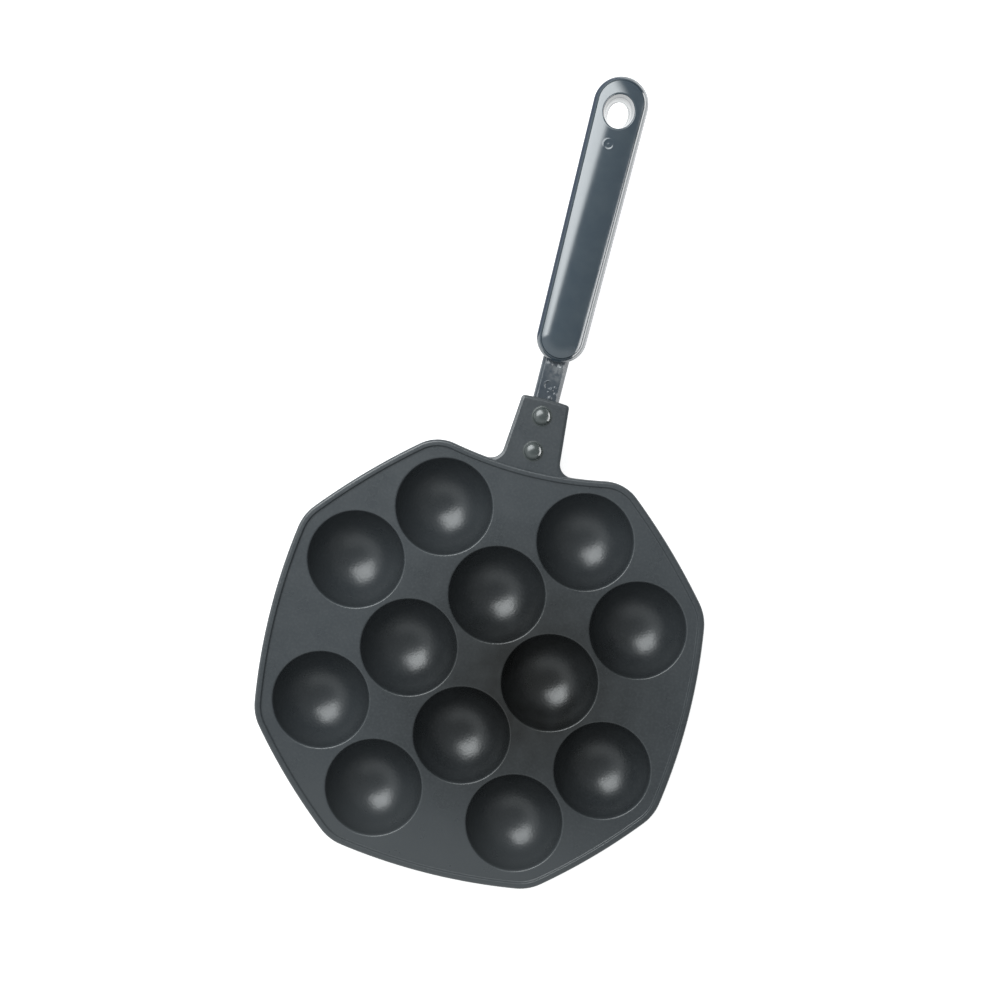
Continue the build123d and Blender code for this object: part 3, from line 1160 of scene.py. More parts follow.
    def _dome_rows(self, bowl: Vector) -> list[Row]:
        """Samples one dome on the underside, up to its root or to its neighbours.

        Args:
            bowl: the middle of its bowl.

        Returns:
            Rings from the middle of its flat foot to where it ends.
        """
        away = [other - bowl for other in self.bowls if other != bowl]
        reach = self.neighbour_reach * self.pitch
        neighbours = [way / self.pitch for way in away if way.length < reach]
        low = math.asin(self.foot_reach / self.dome_radius)
        spokes = []
        for angle in self._dome_angles():
            way = Vector((math.cos(angle), math.sin(angle)))
            facing = max([way.dot(neighbour) for neighbour in neighbours], default=0)
            end = self.dome_reach
            if facing > 0:
                end = min(end, self.pitch / 2 / facing)
            spokes.append((way, math.asin(end / self.dome_radius)))
        rows = [raised([bowl]) * len(spokes)]
        for share in spaced(0, 1, self.dome_rows):
            row = []
            for way, high in spokes:
                angle = low + (high - low) * share
                reach = self.dome_radius * math.sin(angle)
                height = self.bowl_middle - self.dome_radius * math.cos(angle)
                row.append(Vector((bowl.x + way.x * reach, bowl.y + way.y * reach, height)))
            rows.append(row)
        return rows

    def _lug(self, outline: PlanOutline) -> bpy.types.Object:
        """Solid of the lug, with its root flared into the neck and a seat for the tang below.

        Args:
            outline: the plate's outline, whose last side is the neck.

        Returns:
            The lug.
        """
        root = self.lug_root_width / 2
        end = self.lug_end_width / 2
        neck = outline.arcs[-1]
        root_y = neck.centre.y - half_chord(neck.radius, root)
        right_root, left_root = (Vector((x, root_y)) for x in (root, -root))
        reach = self.corner_reach + self.neck_extra
        left_corner = self._corner(reach, -self.corner_angle + self.neck_turn)
        right_corner = Vector((-left_corner.x, left_corner.y))

        def hollow_of(first: Vector, second: Vector) -> float:
            """Bulge of the neck's circle between two points on it."""
            return half_chord(neck.radius, (second - first).length / 2) - neck.radius

        plan = PlanOutline(
            (
                Corner(Vector((end, self.lug_end)), self.lug_end_round, self.lug_end_bulge),
                Corner(Vector((-end, self.lug_end)), self.lug_end_round, 0),
                Corner(left_root, self.lug_root_fillet, hollow_of(left_root, left_corner)),
                Corner(left_corner, self.lug_inner_round, 0),
                Corner(right_corner, self.lug_inner_round, hollow_of(right_corner, right_root)),
                Corner(right_root, self.lug_root_fillet, 0),
            ),
            self.lug_spacing,
        )
        shown = [*plan.arcs[-2:], *plan.arcs[:5]]
        anchors = (shown[-1].end, shown[0].start)
        inner = [Vector((anchor.x, anchor.y - self.lug_overlap)) for anchor in anchors]
        profile = softened(
            (
                (self.lug_foot, self.underside, 0),
                (0, self.underside, self.lug_edge_round),
                (0, self.lug_top - self.lug_bevel_drop, self.lug_side_round),
                (self.lug_bevel, self.lug_top, self.lug_edge_round),
                (self.lug_bevel + self.lug_flat, self.lug_top, 0),
            )
        )
        rows = []
        for inset, height in profile:
            chain = [point for arc in shown for point in arc.points(inset, plan.spacing)]
            rows.append(raised([*chain, shown[-1].end_at(inset), *inner], height))
        shell = Shell()
        shell.grid(rows)
        shell.fill([rows[0]])
        shell.fill([rows[-1]])
        side, low = -self.seat_width / 2, self.underside - CUT_PAST
        start = Vector((side, self.neck + self.seat_start, low))
        seat = Vector((self.seat_width, self.lug_reach, self.seat_depth + CUT_PAST))
        return combine(shell.object("lug"), block(seat, moved(start)), Join.CUT)

    def build(self, material: bpy.types.Material) -> bpy.types.Object:
        """Builds the casting.

        Args:
            material: its coating.

        Returns:
            One closed mesh.
        """
        outline = self._outline()
        rows = [outline.loop(inset, height) for inset, height in self._rim_profile()]
        shell = Shell()
        shell.grid(rows)
        mouths = [self._mouth(bowl) for bowl in self.bowls]
        shell.fill([rows[0], *mouths], outside_rings(self.bowls, self.lip_reach))
        roots = []
        for bowl in self.bowls:
            rings = self._dome_rows(bowl)
            shell.grid(rings)
            root = rings[-1] + rings[-1][:1]
            for a, b in zip(root, root[1:]):
                if min(a.z, b.z) > self.underside - WELD:
                    roots.append([a, b])
        shell.fill([rows[-1], *roots], outside_rings(self.bowls, self.dome_reach))
        bowls = bowl_field().apply(
            self._bowl().object("bowl"),
            Pitch=self.pitch,
            Side_Count=self.side_count,
            Corner_Reach=self.pitch * self.side_count / 2,
            Centre=(0, self.centre.y, 0),
            Material=material,
        )
        shell.take(bowls)
        casting = combine(shell.object("cast_pan"), self._lug(outline), Join.UNION)
        smooth(casting, self.crease)
        even_normals(casting)
        dress(casting, material)
        return casting


# ---- Slope of the grip ----


@dataclass
class Slope:
    """Frame of the risen stretch: x across, y along from the bend, z square to the seam."""

    bend_gap: float = 4 * MM
    rise: float = 4.0
    seam_depth: float = 3 * MM  # of the seam under the plate's top

    def __post_init__(self) -> None:
        """Finds the bend from the casting's solid."""
        _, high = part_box("pan_casting")
        pan = PanCasting()
        angle = math.radians(self.rise)
        bend = high.y - pan.lug_end_bulge + self.bend_gap
        self.origin = Vector((0, bend, pan.plate_top - self.seam_depth))
        self.along = Vector((0, math.cos(angle), math.sin(angle)))
        self.normal = Vector((0, -math.sin(angle), math.cos(angle)))

    def place(self, point: Vector) -> Vector:
        """Carries a point from the slope's frame to the part's."""
        across = Vector((point.x, 0, 0))
        return self.origin + across + self.along * point.y + self.normal * point.z


@dataclass(frozen=True)
class Dimple:
    """Round mark pressed into a surface, with a low raised lip and a pip in its middle.

    Its shares are of its radius, and its floor rises a little towards the wall.
    """

    radius: float
    depth: float
    lip: float
    pip: float
    pip_share: float = 0.4
    floor_share: float = 0.82
    floor_rise: float = 0.35  # share of the depth
    wall_share: float = 0.98
    lip_share: float = 1.08
    lip_reach: float = 0.27

    def lift(self, distance: float) -> float:
        """Height over the plain surface.

        Args:
            distance: how far from the mark's middle.

        Returns:
            The height, negative inside the mark.
        """
        share = distance / self.radius
        if share >= self.lip_share + self.lip_reach:
            return 0.0
        if share <= self.floor_share:
            middle = self.pip * math.cos(min(share / self.pip_share, 1.0) * QUARTER) ** 2
            rise = self.floor_rise * (share / self.floor_share) ** 2
            return middle - self.depth * (1 - rise)
        lip = self.lip * math.cos((share - self.lip_share) / self.lip_reach * QUARTER) ** 2
        down = max(0.0, (self.wall_share - share) / (self.wall_share - self.floor_share))
        return lip - self.depth * (1 - self.floor_rise) * down


# ---- Tang ----


@dataclass(frozen=True)
class Bead:
    """Low bead of gathered paint on the tang."""

    aside: float
    along: float
    radius: float
    height: float

    def lift(self, x: float, along: float) -> float:
        """Height over the plain surface at a place."""
        share = math.hypot(x - self.aside, along - self.along) / self.radius
        return self.height * math.cos(min(share, 1.0) * QUARTER) ** 2


@dataclass
class HandleTang:
    """Pressed channel, open below, from under the lug into the grip."""

    slope: Slope
    width: float = 11 * MM
    depth: float = 5.6 * MM
    sheet: float = 1.6 * MM
    inner_round: float = 0.6 * MM
    edge_round: float = 0.3 * MM
    bend_radius: float = 25 * MM
    dimple_from_bend: float = 2.3 * MM
    dimple_aside: float = -0.5 * MM
    dimple: Dimple = Dimple(1.7 * MM, 0.32 * MM, 0.12 * MM, 0.0)
    beads: tuple[Bead, ...] = (
        Bead(1.4 * MM, 0.7 * MM, 1.1 * MM, 0.34 * MM),
        Bead(2.4 * MM, 1.9 * MM, 0.9 * MM, 0.26 * MM),
        Bead(0.2 * MM, -0.4 * MM, 0.9 * MM, 0.22 * MM),
        Bead(1.4 * MM, -2.7 * MM, 1.2 * MM, 0.36 * MM),
        Bead(3.0 * MM, -0.7 * MM, 1.0 * MM, 0.24 * MM),
        Bead(2.9 * MM, 10.4 * MM, 2.3 * MM, 0.6 * MM),
        Bead(-2.0 * MM, 11.0 * MM, 1.9 * MM, 0.45 * MM),
    )
    marked: float = 0.1 * MM  # depth from the top that the marks reach
    open_stretch: Span = (-4 * MM, 13 * MM)  # between the lug and the grip, from the bend
    fine: float = 0.22 * MM
    coarse: float = 3 * MM
    crease: float = 30.0

    def _section(self) -> list[Vector]:
        """Closed section of the channel: x across and y up from its top."""
        half = self.width / 2
        inner = half - self.sheet
        outer_round = self.inner_round + self.sheet
        edge = self.edge_round
        foot = edge - self.depth
        flat = half - outer_round
        left = softened(((-half, foot, 0), (-half, 0, outer_round), (0, 0, 0)), 8)[:-2]
        top = [Vector((x, 0)) for x in stepped(-flat, flat, self.fine)]
        right = [Vector((-p.x, p.y)) for p in reversed(left)]
        inside = softened(
            (
                (half, foot, 0),
                (half, -self.depth, edge),
                (inner, -self.depth, edge),
                (inner, -self.sheet, self.inner_round),
                (-inner, -self.sheet, self.inner_round),
                (-inner, -self.depth, edge),
                (-half, -self.depth, edge),
                (-half, foot, 0),
            ),
            4,
        )
        return left + top + right + inside[1:-1]

    def _placing(self, along: float) -> Place:
        """Makes the placing of the section at a distance along.

        Args:
            along: distance from the bend, negative towards the pan.

        Returns:
            What carries a point of the section to the part.
        """
        angle = math.radians(self.slope.rise)
        tangent = self.bend_radius * math.tan(angle / 2)
        if along <= -tangent:
            origin, up = self.slope.origin + Vector((0, along, 0)), Vector((0, 0, 1))
        elif along >= tangent:
            origin, up = self.slope.place(Vector((0, along, 0))), self.slope.normal
        else:
            turned_by = angle * (along + tangent) / (2 * tangent)
            up = Vector((0, -math.sin(turned_by), math.cos(turned_by)))
            centre = self.slope.origin + Vector((0, -tangent, self.bend_radius))
            origin = centre - up * self.bend_radius
        return lambda point: origin + Vector((point.x, 0, 0)) + up * point.y

    def _lift(self, point: Vector, along: float) -> float:
        """Height of the dimple and the beads over the plain channel.

        Args:
            point: a point of the section.
            along: distance from the bend.

        Returns:
            The height, which is 0 below the channel's top.
        """
        if point.y <= -self.marked:
            return 0.0
        reach = math.hypot(point.x - self.dimple_aside, along - self.dimple_from_bend)
        return self.dimple.lift(reach) + sum(bead.lift(point.x, along) for bead in self.beads)

    def build(self, material: bpy.types.Material) -> bpy.types.Object:
        """Builds the tang.

        Args:
            material: its paint.

        Returns:
            One closed mesh.
        """
        low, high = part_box("handle_tang")
        start = low.y - self.slope.origin.y
        end = (high.y - self.slope.origin.y) / self.slope.along.y
        first, last = self.open_stretch
        stations = (
            stepped(start, first, self.coarse)[:-1]
            + stepped(first, last, self.fine)[:-1]
            + stepped(last, end, self.coarse)
        )
        section = self._section()
        rows = []
        for along in stations:
            place = self._placing(along)
            rows.append([place(Vector((p.x, p.y + self._lift(p, along)))) for p in section])
        shell = Shell()
        shell.grid(rows)
        for along in (stations[0], stations[-1]):
            shell.fill([raised(section)], place=self._placing(along))
        tang = shell.object("handle_tang_steel", self.crease)
        even_normals(tang)
        dress(tang, material)
        return tang


# ---- Fasteners ----


@dataclass
class LugRivets:
    """Domed rivets through the lug and the tang, coated with the casting."""

    pan: PanCasting
    head: float = 7.6 * MM
    head_height: float = 2.4 * MM
    crown_radius: float = 6 * MM
    crown_turn: float = 25.0  # degrees of the flatter crown on each side of the middle
    edge_turn: float = 84.0  # degrees at the head's edge
    flare: float = 0.5 * MM  # of the coating round the head
    flare_round: float = 0.35 * MM
    flare_corner: Span = (0.02 * MM, 0.06 * MM)  # out from the head, and up
    sunk: float = 0.3 * MM  # how far the flare runs into the lug
    shank: float = 4 * MM
    tail: float = 6.4 * MM
    tail_height: float = 1.8 * MM
    inset: float = 7.8 * MM
    spacing: float = 14.8 * MM
    count: int = 2
    segments: int = 64
    crown_rows: int = 8
    shoulder_rows: int = 12
    tail_rows: int = 10
    crease: float = 35.0

    def _head(self) -> list[Vector]:
        """Radius and height of the head, from its middle to the edge of its flare."""
        half = self.head / 2
        turn = math.radians(self.crown_turn)
        steep = math.radians(self.edge_turn)
        crown = (0, self.head_height - self.crown_radius)
        profile = arc_path(crown, self.crown_radius, QUARTER, QUARTER - turn, self.crown_rows)
        flat = half - self.crown_radius * math.sin(turn)
        shoulder = flat / (math.sin(steep) - math.sin(turn))
        middle = profile[-1] - Vector((math.sin(turn), math.cos(turn))) * shoulder
        ends = (QUARTER - turn, QUARTER - steep)
        profile += arc_path(middle, shoulder, *ends, self.shoulder_rows)[1:]
        out, up = self.flare_corner
        edge = half + self.flare
        foot = softened(
            (
                (*profile[-1], 0),
                (half + out, up, self.flare_round),
                (edge, 0, 0),
                (edge, -self.sunk, 0),
            )
        )
        return profile + foot[1:]

    def build(self, material: bpy.types.Material) -> bpy.types.Object:
        """Builds the rivets.

        Args:
            material: their coating.

        Returns:
            One mesh of closed solids.
        """
        pan = self.pan
        below = pan.underside + pan.seat_depth - HandleTang.sheet - pan.lug_top
        tail = self.tail / 2
        radius = cap_radius(tail, self.tail_height)
        bottom = (0, below - self.tail_height + radius)
        start = math.asin(tail / radius) - QUARTER
        profile = [
            *self._head(),
            Vector((self.shank / 2, -self.sunk)),
            Vector((self.shank / 2, below)),
            Vector((tail, below)),
            *arc_path(bottom, radius, start, -QUARTER, self.tail_rows)[1:],
        ]
        first = Vector((0, pan.neck + self.inset, pan.lug_top))
        rivet = turned(profile, self.segments, moved(first)).object("lug_rivets", self.crease)
        step = (0, self.spacing, 0)
        fastener_row().apply(rivet, Count=self.count, Step=step, Material=material)
        smooth(rivet, self.crease)
        return rivet


@dataclass
class GripScrews:
    """Cross-recessed screws driven up through the lower shell. Heights are from the seam."""

    slope: Slope
    shank: float = 3.9 * MM
    point: float = 0.4 * MM  # bevel at the screw's end
    head: float = 7.4 * MM
    head_height: float = 2.2 * MM
    head_edge: float = 0.9 * MM
    head_bevel: float = 0.1 * MM
    head_clearance: float = 0.2 * MM  # to the counterbore in the shell
    seat: float = -7.6 * MM
    end: float = 4 * MM
    recess_width: float = 1 * MM
    recess_span: float = 4 * MM
    recess_depth: float = 1.2 * MM
    first: float = 37.3 * MM  # from the bend
    spacing: float = 48 * MM
    count: int = 2
    segments: int = 48
    dome_rows: int = 9
    crease: float = 35.0

    def build(self, material: bpy.types.Material) -> bpy.types.Object:
        """Builds the screws.

        Args:
            material: their plating.

        Returns:
            One mesh of closed solids.
        """
        half = self.head / 2
        shank = self.shank / 2
        face = self.seat - self.head_height
        dome = cap_radius(half, self.head_height - self.head_edge)
        start = math.asin(half / dome) - QUARTER
        profile = [
            Vector((0, self.end)),
            Vector((shank - self.point, self.end)),
            Vector((shank, self.end - self.point)),
            Vector((shank, self.seat)),
            Vector((half - self.head_bevel, self.seat)),
            Vector((half, self.seat - self.head_bevel)),
            *arc_path((0, face + dome), dome, start, -QUARTER, self.dome_rows),
        ]
        place = moved(Vector((0, self.first, 0)), self.slope.place)
        screw = turned(profile, self.segments, place).object("grip_screws", self.crease)
        for x, y in ((self.recess_width, self.recess_span), (self.recess_span, self.recess_width)):
            size = Vector((x, y, self.recess_depth + CUT_PAST))
            corner = Vector((-x / 2, -y / 2, face - CUT_PAST))
            combine(screw, block(size, moved(corner, place)), Join.CUT)
        step = tuple(self.slope.along * self.spacing)
        fastener_row().apply(screw, Count=self.count, Step=step, Material=material)
        smooth(screw, self.crease)
        return screw


# ---- Grip ----


@dataclass
class GripShell:
    """Half of the grip on one side of the seam, a long taper between half-round ends.

    Its plan is swept with a border profile, and inside the border a crown or a belly runs up to
    the middle line and down into the hanging hole.
    """

    slope: Slope
    half: Half
    start: float = 12.3 * MM
    length: float = 119.1 * MM
    clear: float = 0.01 * MM  # kept inside the solid at the hanging end
    neck_width: float = 20.7 * MM
    end_width: float = 22.6 * MM
    side_land: float = 1 * MM
    seam_bevel: float = 0.3 * MM
    border: float = 2.1 * MM
    shoulder: float = 4.6 * MM
    panel_step: float = 0.3 * MM
    groove: float = 0.22 * MM  # depth of the fine groove round the panel
    groove_path: tuple[Span, ...] = ((1.2, 0), (0.5, 1), (0.1, 0.6))  # out and down, in depths
    crown: float = 6.5 * MM
    belly: float = 10.5 * MM
    hang_from_end: float = 14.7 * MM
    hang_width: float = 12.4 * MM
    hang_length: float = 13.8 * MM
    hang_draw: float = 3 * MM
    hang_lean: float = 1.4  # how much more than its ends the hole's sides lean
    hang_round: float = 0.75 * MM
    hang_bevel: float = 0.18 * MM  # where the hole crosses the seam
    hang_patch: float = 10.5 * MM  # the hole's patch begins this far before its middle
    # Shares of the way from the hole to the patch's edge, in the upper shell.
    patch_shares: tuple[float, ...] = (0, 0.03, 0.07, 0.13, 0.21, 0.31, 0.43, 0.56, 0.7, 0.84, 1)
    mark_from_hole: float = 13.8 * MM
    mark_aside: float = -0.9 * MM
    mark_reach: float = 3.3 * MM  # the panel is fine this far before the mark's middle
    mark: Dimple = Dimple(1.9 * MM, 0.09 * MM, 0.05 * MM, 0.07 * MM)
    trough_width: float = 11.4 * MM
    trough_depth: float = 5.6 * MM
    trough_end: float = 97.5 * MM
    fine: float = 0.3 * MM
    coarse: float = 2.4 * MM
    arc_steps: int = 48
    belly_steps: int = 48
    border_steps: int = 12
    patch_steps: int = 16  # of the lower shell
    hang_rows: int = 6
    bore_segments: int = 64
    crease: float = 32.0

    def __post_init__(self) -> None:
        """Works out places along the grip."""
        self.neck_radius = self.neck_width / 2
        self.end_radius = self.end_width / 2 - self.clear
        self.neck_centre = self.start + self.neck_radius
        self.end_centre = self.start + self.length - self.end_width / 2
        self.hang_centre = self.start + self.length - self.hang_from_end
        self.mark_centre = self.hang_centre - self.mark_from_hole
        self.patch_start = self.hang_centre - self.hang_patch
        self.upper = self.half is Half.UPPER
        self.edge_inset = self.border if self.upper else 0.0

    def _radius(self, y: float) -> float:
        """Half width of the plan at a place along."""
        share = (y - self.neck_centre) / (self.end_centre - self.neck_centre)
        return self.neck_radius + (self.end_radius - self.neck_radius) * min(1.0, max(0.0, share))

    def _height(self, x: float, y: float) -> float:
        """Height over the seam of the crown or the belly.

        Args:
            x: place across.
            y: place along.

        Returns:
            The height, negative for the belly.
        """
        wide = self._radius(y) - self.edge_inset
        past = min(0.0, y - self.neck_centre) + max(0.0, y - self.end_centre)
        out = min(math.hypot(x, past), wide)
        if not self.upper:
            share = min(1.0, out / wide + SLACK)  # leaves no gap at the edge
            return -self.side_land - (self.belly - self.side_land) * math.sqrt(1 - share**2)
        reach = cap_radius(wide, self.crown - self.shoulder - self.panel_step)
        lift = self.mark.lift(math.hypot(x - self.mark_aside, y - self.mark_centre))
        return self.crown - reach + half_chord(reach, out) + lift

    def _stations(self) -> list[float]:
        """Places along from the neck's centre to the patch, fine where the mark is."""
        if not self.upper:
            return stepped(self.neck_centre, self.patch_start, self.coarse)
        low = self.mark_centre - self.mark_reach
        plain = stepped(self.neck_centre, low, self.coarse)
        return plain[:-1] + stepped(low, self.patch_start, self.fine)

    def _shares(self) -> list[float]:
        """Shares of the half width, from 1 at the right edge to -1 at the left."""
        if not self.upper:
            return [math.cos(angle) for angle in spaced(0, math.pi, self.belly_steps)]
        count = math.ceil(2 * (self.end_radius - self.border) / self.fine / 2) * 2
        return [1 - 2 * i / count for i in range(count + 1)]

    def _across(self, y: float) -> list[Vector]:
        """Plan points across the crown or the belly at a place along."""
        wide = self._radius(y) - self.edge_inset
        return [Vector((share * wide, y)) for share in self._shares()]

    def _plan_loop(self, inset: float) -> list[Vector]:
        """Closed plan loop, anticlockwise from the right side's first station.

        Args:
            inset: how far it lies inside the outline.

        Returns:
            The loop's points.
        """
        along = self._stations() + stepped(self.patch_start, self.end_centre, self.fine * 2)[1:]
        right = [Vector((self._radius(y) - inset, y)) for y in along]
        left = [Vector((-p.x, p.y)) for p in reversed(right)]
        end = arc_path((0, self.end_centre), self.end_radius - inset, 0, math.pi, self.arc_steps)
        neck = self._neck_arc(self.neck_radius - inset)
        return right + end[1:-1] + left + neck[1:-1]

    def _neck_arc(self, radius: float) -> list[Vector]:
        """Half circle round the neck's centre, from its left side to its right."""
        return arc_path((0, self.neck_centre), radius, math.pi, math.tau, self.arc_steps)

    def _lifted(self, plan: Sequence[Vector], height: float | None = None) -> Row:
        """Raises plan points and carries them to the part.

        Args:
            plan: the points.
            height: their height, or None for that of the crown or the belly.

        Returns:
            The carried points.
        """
        heights = [self._height(p.x, p.y) if height is None else height for p in plan]
        return [self.slope.place(Vector((p.x, p.y, z))) for p, z in zip(plan, heights)]

    def _border_profile(self) -> list[Vector]:
        """Inset and height from the seam up to the edge of the crown or the belly."""
        if not self.upper:
            corners = ((self.seam_bevel, 0), (0, -self.seam_bevel), (0, -self.side_land))
            return [Vector(corner) for corner in corners]
        rise = self.shoulder - self.side_land
        half_turn = QUARTER - math.atan2(rise, self.border)
        radius = math.hypot(self.border, rise) / 2 / math.sin(half_turn)
        foot = (radius, self.side_land)
        arc = arc_path(foot, radius, math.pi, math.pi - 2 * half_turn, self.border_steps)
        groove = [
            Vector((self.border - self.groove * out, self.shoulder - self.groove * down))
            for out, down in self.groove_path
        ]
        return [
            Vector((self.seam_bevel, 0)),
            Vector((0, self.seam_bevel)),
            *arc[:-1],
            *groove,
            Vector((self.border, self.shoulder + self.panel_step)),
        ]

    def _oval(self, outer: Sequence[Vector], grow: float) -> list[Vector]:
        """Hanging hole's oval at its top, grown.

        Args:
            outer: points round it, each of which gets one of the oval's in its direction.
            grow: how much larger than at the top, negative for smaller.

        Returns:
            The oval's plan points.
        """
        middle = Vector((0, self.hang_centre))
        wide = self.hang_width / 2 + grow * (self.hang_lean if grow < 0 else 1)
        long = self.hang_length / 2 + grow
        points = []
        for target in outer:
            way = (target - middle).normalized()
            angle = math.atan2(way.y / long, way.x / wide)
            points.append(middle + Vector((wide * math.cos(angle), long * math.sin(angle))))
        return points

    def _hole_growth(self, height: float) -> float:
        """How much larger than at its top the hole is at a height, negative below."""
        return -self.hang_draw / 2 * (self.crown - height) / (self.crown + self.belly)

    def _patch(self, shell: Shell) -> Row:
        """Adds the end patch round the hanging hole, and its wall down to the seam.

        Args:
            shell: the shell that takes the faces.

        Returns:
            The hole's ring in the seam, in the slope's frame.
        """
        shares = self.patch_shares
        opening = 0.0  # growth of the hole where it opens
        if not self.upper:
            shares = [math.sin(angle) for angle in spaced(0, QUARTER, self.patch_steps)]
            opening = self._hole_growth(-self.belly)
        edge = self._plan_loop(self.edge_inset)
        outer = [p for p in edge if p.y > self.patch_start + WELD]
        outer += reversed(self._across(self.patch_start))
        inner = self._oval(outer, opening + self.hang_round)
        shell.grid([self._lifted([i.lerp(o, s) for i, o in zip(inner, outer)]) for s in shares])
        sign = self.half.value
        wall = []
        for angle in spaced(0, QUARTER, self.hang_rows):
            ring = self._oval(outer, opening + self.hang_round * (1 - math.sin(angle)))
            drop = sign * self.hang_round * (1 - math.cos(angle))
            heights = [self._height(p.x, p.y) - drop for p in ring]
            wall.append([self.slope.place(Vector((*p, z))) for p, z in zip(ring, heights)])
        for height, extra in ((sign * self.hang_bevel, 0.0), (0.0, self.hang_bevel)):
            ring = self._oval(outer, self._hole_growth(height) + extra)
            wall.append(self._lifted(ring, height))
        shell.grid(wall)
        return raised(ring)

    def _fill_seam(self, shell: Shell, hole: Row) -> None:
        """Closes the shell in the seam, round the hanging hole.

        Args:
            shell: the shell that takes the faces.
            hole: the hole's ring in the seam.
        """
        middle = Vector((0, self.hang_centre))
        reach = min((p.xy - middle).length for p in hole)

        def outside_hole(corners: Row) -> bool:
            """Tests one triangle in the seam.

            Args:
                corners: its corners.

            Returns:
                Whether it lies outside the hanging hole.
            """
            point = middle_of(corners)
            away = (point - middle).length
            nearest = min(hole, key=lambda p: (p.xy - point).length)
            return away >= reach and away > (nearest.xy - middle).length

        seam = raised(self._plan_loop(self.seam_bevel))
        shell.fill([seam, hole + hole[:1]], outside_hole, self.slope.place)

    def build(self, name: str, material: bpy.types.Material) -> bpy.types.Object:
        """Builds the shell.

        Args:
            name: the piece's name.
            material: its moulding.

        Returns:
            One closed mesh.
        """
        shell = Shell()
        shell.grid([self._lifted(self._plan_loop(p.x), p.y) for p in self._border_profile()])
        shell.grid([self._lifted(self._across(y)) for y in self._stations()], closed=False)
        shares = self._shares()
        wide = self.neck_radius - self.edge_inset
        fan = [self._neck_arc(wide * share) for share in shares[: len(shares) // 2 + 1]]
        shell.grid([self._lifted(ring) for ring in fan], closed=False)
        self._fill_seam(shell, self._patch(shell))
        piece = shell.object(name, self.crease)
        if not self.upper:
            self._cut_inside(piece)
        dress(piece, material)
        return piece

    def _cut_inside(self, piece: bpy.types.Object) -> None:
        """Cuts the tang's trough and the screws' counterbores into the lower shell.

        Args:
            piece: the lower shell.
        """
        size = Vector((self.trough_width, self.trough_end, self.trough_depth + CUT_PAST))
        corner = Vector((-self.trough_width / 2, 0, -self.trough_depth))
        combine(piece, block(size, moved(corner, self.slope.place)), Join.CUT)
        screws = GripScrews(self.slope)
        bore = screws.head / 2 + screws.head_clearance
        below = -self.belly - CUT_PAST
        corners = ((0, screws.seat), (bore, screws.seat), (bore, below), (0, below))
        profile = [Vector(point) for point in corners]
        for index in range(screws.count):
            along = Vector((0, screws.first + index * screws.spacing, 0))
            place = moved(along, self.slope.place)
            counterbore = turned(profile, self.bore_segments, place)
            combine(piece, counterbore.object("counterbore"), Join.CUT)
        smooth(piece, self.crease)


# ---- Studio ----


def stage_sheet(
    name: str, low: Point, high: Point, material: bpy.types.Material
) -> bpy.types.Object:
    """Adds a rectangle that belongs to the stage, level or standing along Y.

    Args:
        name: its name.
        low: one corner.
        high: the corner across from it.
        material: its material.

    Returns:
        The rectangle.
    """
    data = bpy.data.meshes.new(name)
    corners = [low, (high[0], low[1], high[2]), high, (low[0], high[1], low[2])]
    data.from_pydata(corners, [], [(0, 1, 2, 3)])
    sheet = new_object(name, data)
    dress(sheet, material)
    return sheet


@dataclass(frozen=True)
class View:
    """Camera that looks down on the pan, with the grip pointing up and to the right."""

    place: Point = (-7.7 * MM, 9.25 * MM, 781 * MM)
    aim: Point = (-8.3 * MM, -10.95 * MM, 22 * MM)
    up: Point = (-0.2449, 0.9692, -0.0257)
    lens: float = 66.24
    sensor: float = 36.0
    nearest: float = 0.01

    def build(self) -> None:
        """Adds the camera."""
        data = bpy.data.cameras.new("camera")
        data.lens = self.lens
        data.sensor_width = self.sensor
        data.clip_start = self.nearest
        place = Vector(self.place)
        back = (place - Vector(self.aim)).normalized()
        right = Vector(self.up).cross(back).normalized()
        turn = Matrix((right, back.cross(right), back)).transposed().to_4x4()
        camera = new_object("camera", data)
        camera.matrix_world = Matrix.Translation(place) @ turn
        bpy.context.scene.camera = camera


@dataclass(frozen=True)
class SoftBox:
    """Level soft box overhead at the upper left, faded at its edges."""

    place: Point = (-0.561, 0.541, 0.71)
    size: Span = (1.04, 1.12)
    turn: float = 37.0
    radiance: float = 4.35
    colour: Colour = (0.95, 0.99, 1.0)
    fade: float = 0.28  # share of its size
    fade_near: float = 0.08  # at its lower edge

    def build(self) -> None:
        """Adds the lamp."""
        data = bpy.data.lights.new("soft box", "AREA")
        data.shape = "RECTANGLE"
        data.size, data.size_y = self.size
        data.energy = self.radiance * math.pi * data.size * data.size_y
        data.color = self.colour
        data.use_nodes = True
        nodes = Nodes(data.node_tree)
        across = nodes.add("ShaderNodeNewGeometry", output="Parametric")
        bright: object = 1.0
        for axis, near in (("X", self.fade), ("Y", self.fade_near)):
            for ends in ((0.0, near), (1.0, 1.0 - self.fade)):
                faded = nodes.remap(nodes.axis(across, axis), ends, curve=Curve.EASED)
                bright = nodes.calc("MULTIPLY", faded, bright)
        nodes.feed(data.node_tree.nodes["Emission"].inputs["Strength"], bright)
        light = new_object("soft box", data)
        light.location = self.place
        light.rotation_euler = (0, 0, math.radians(self.turn))


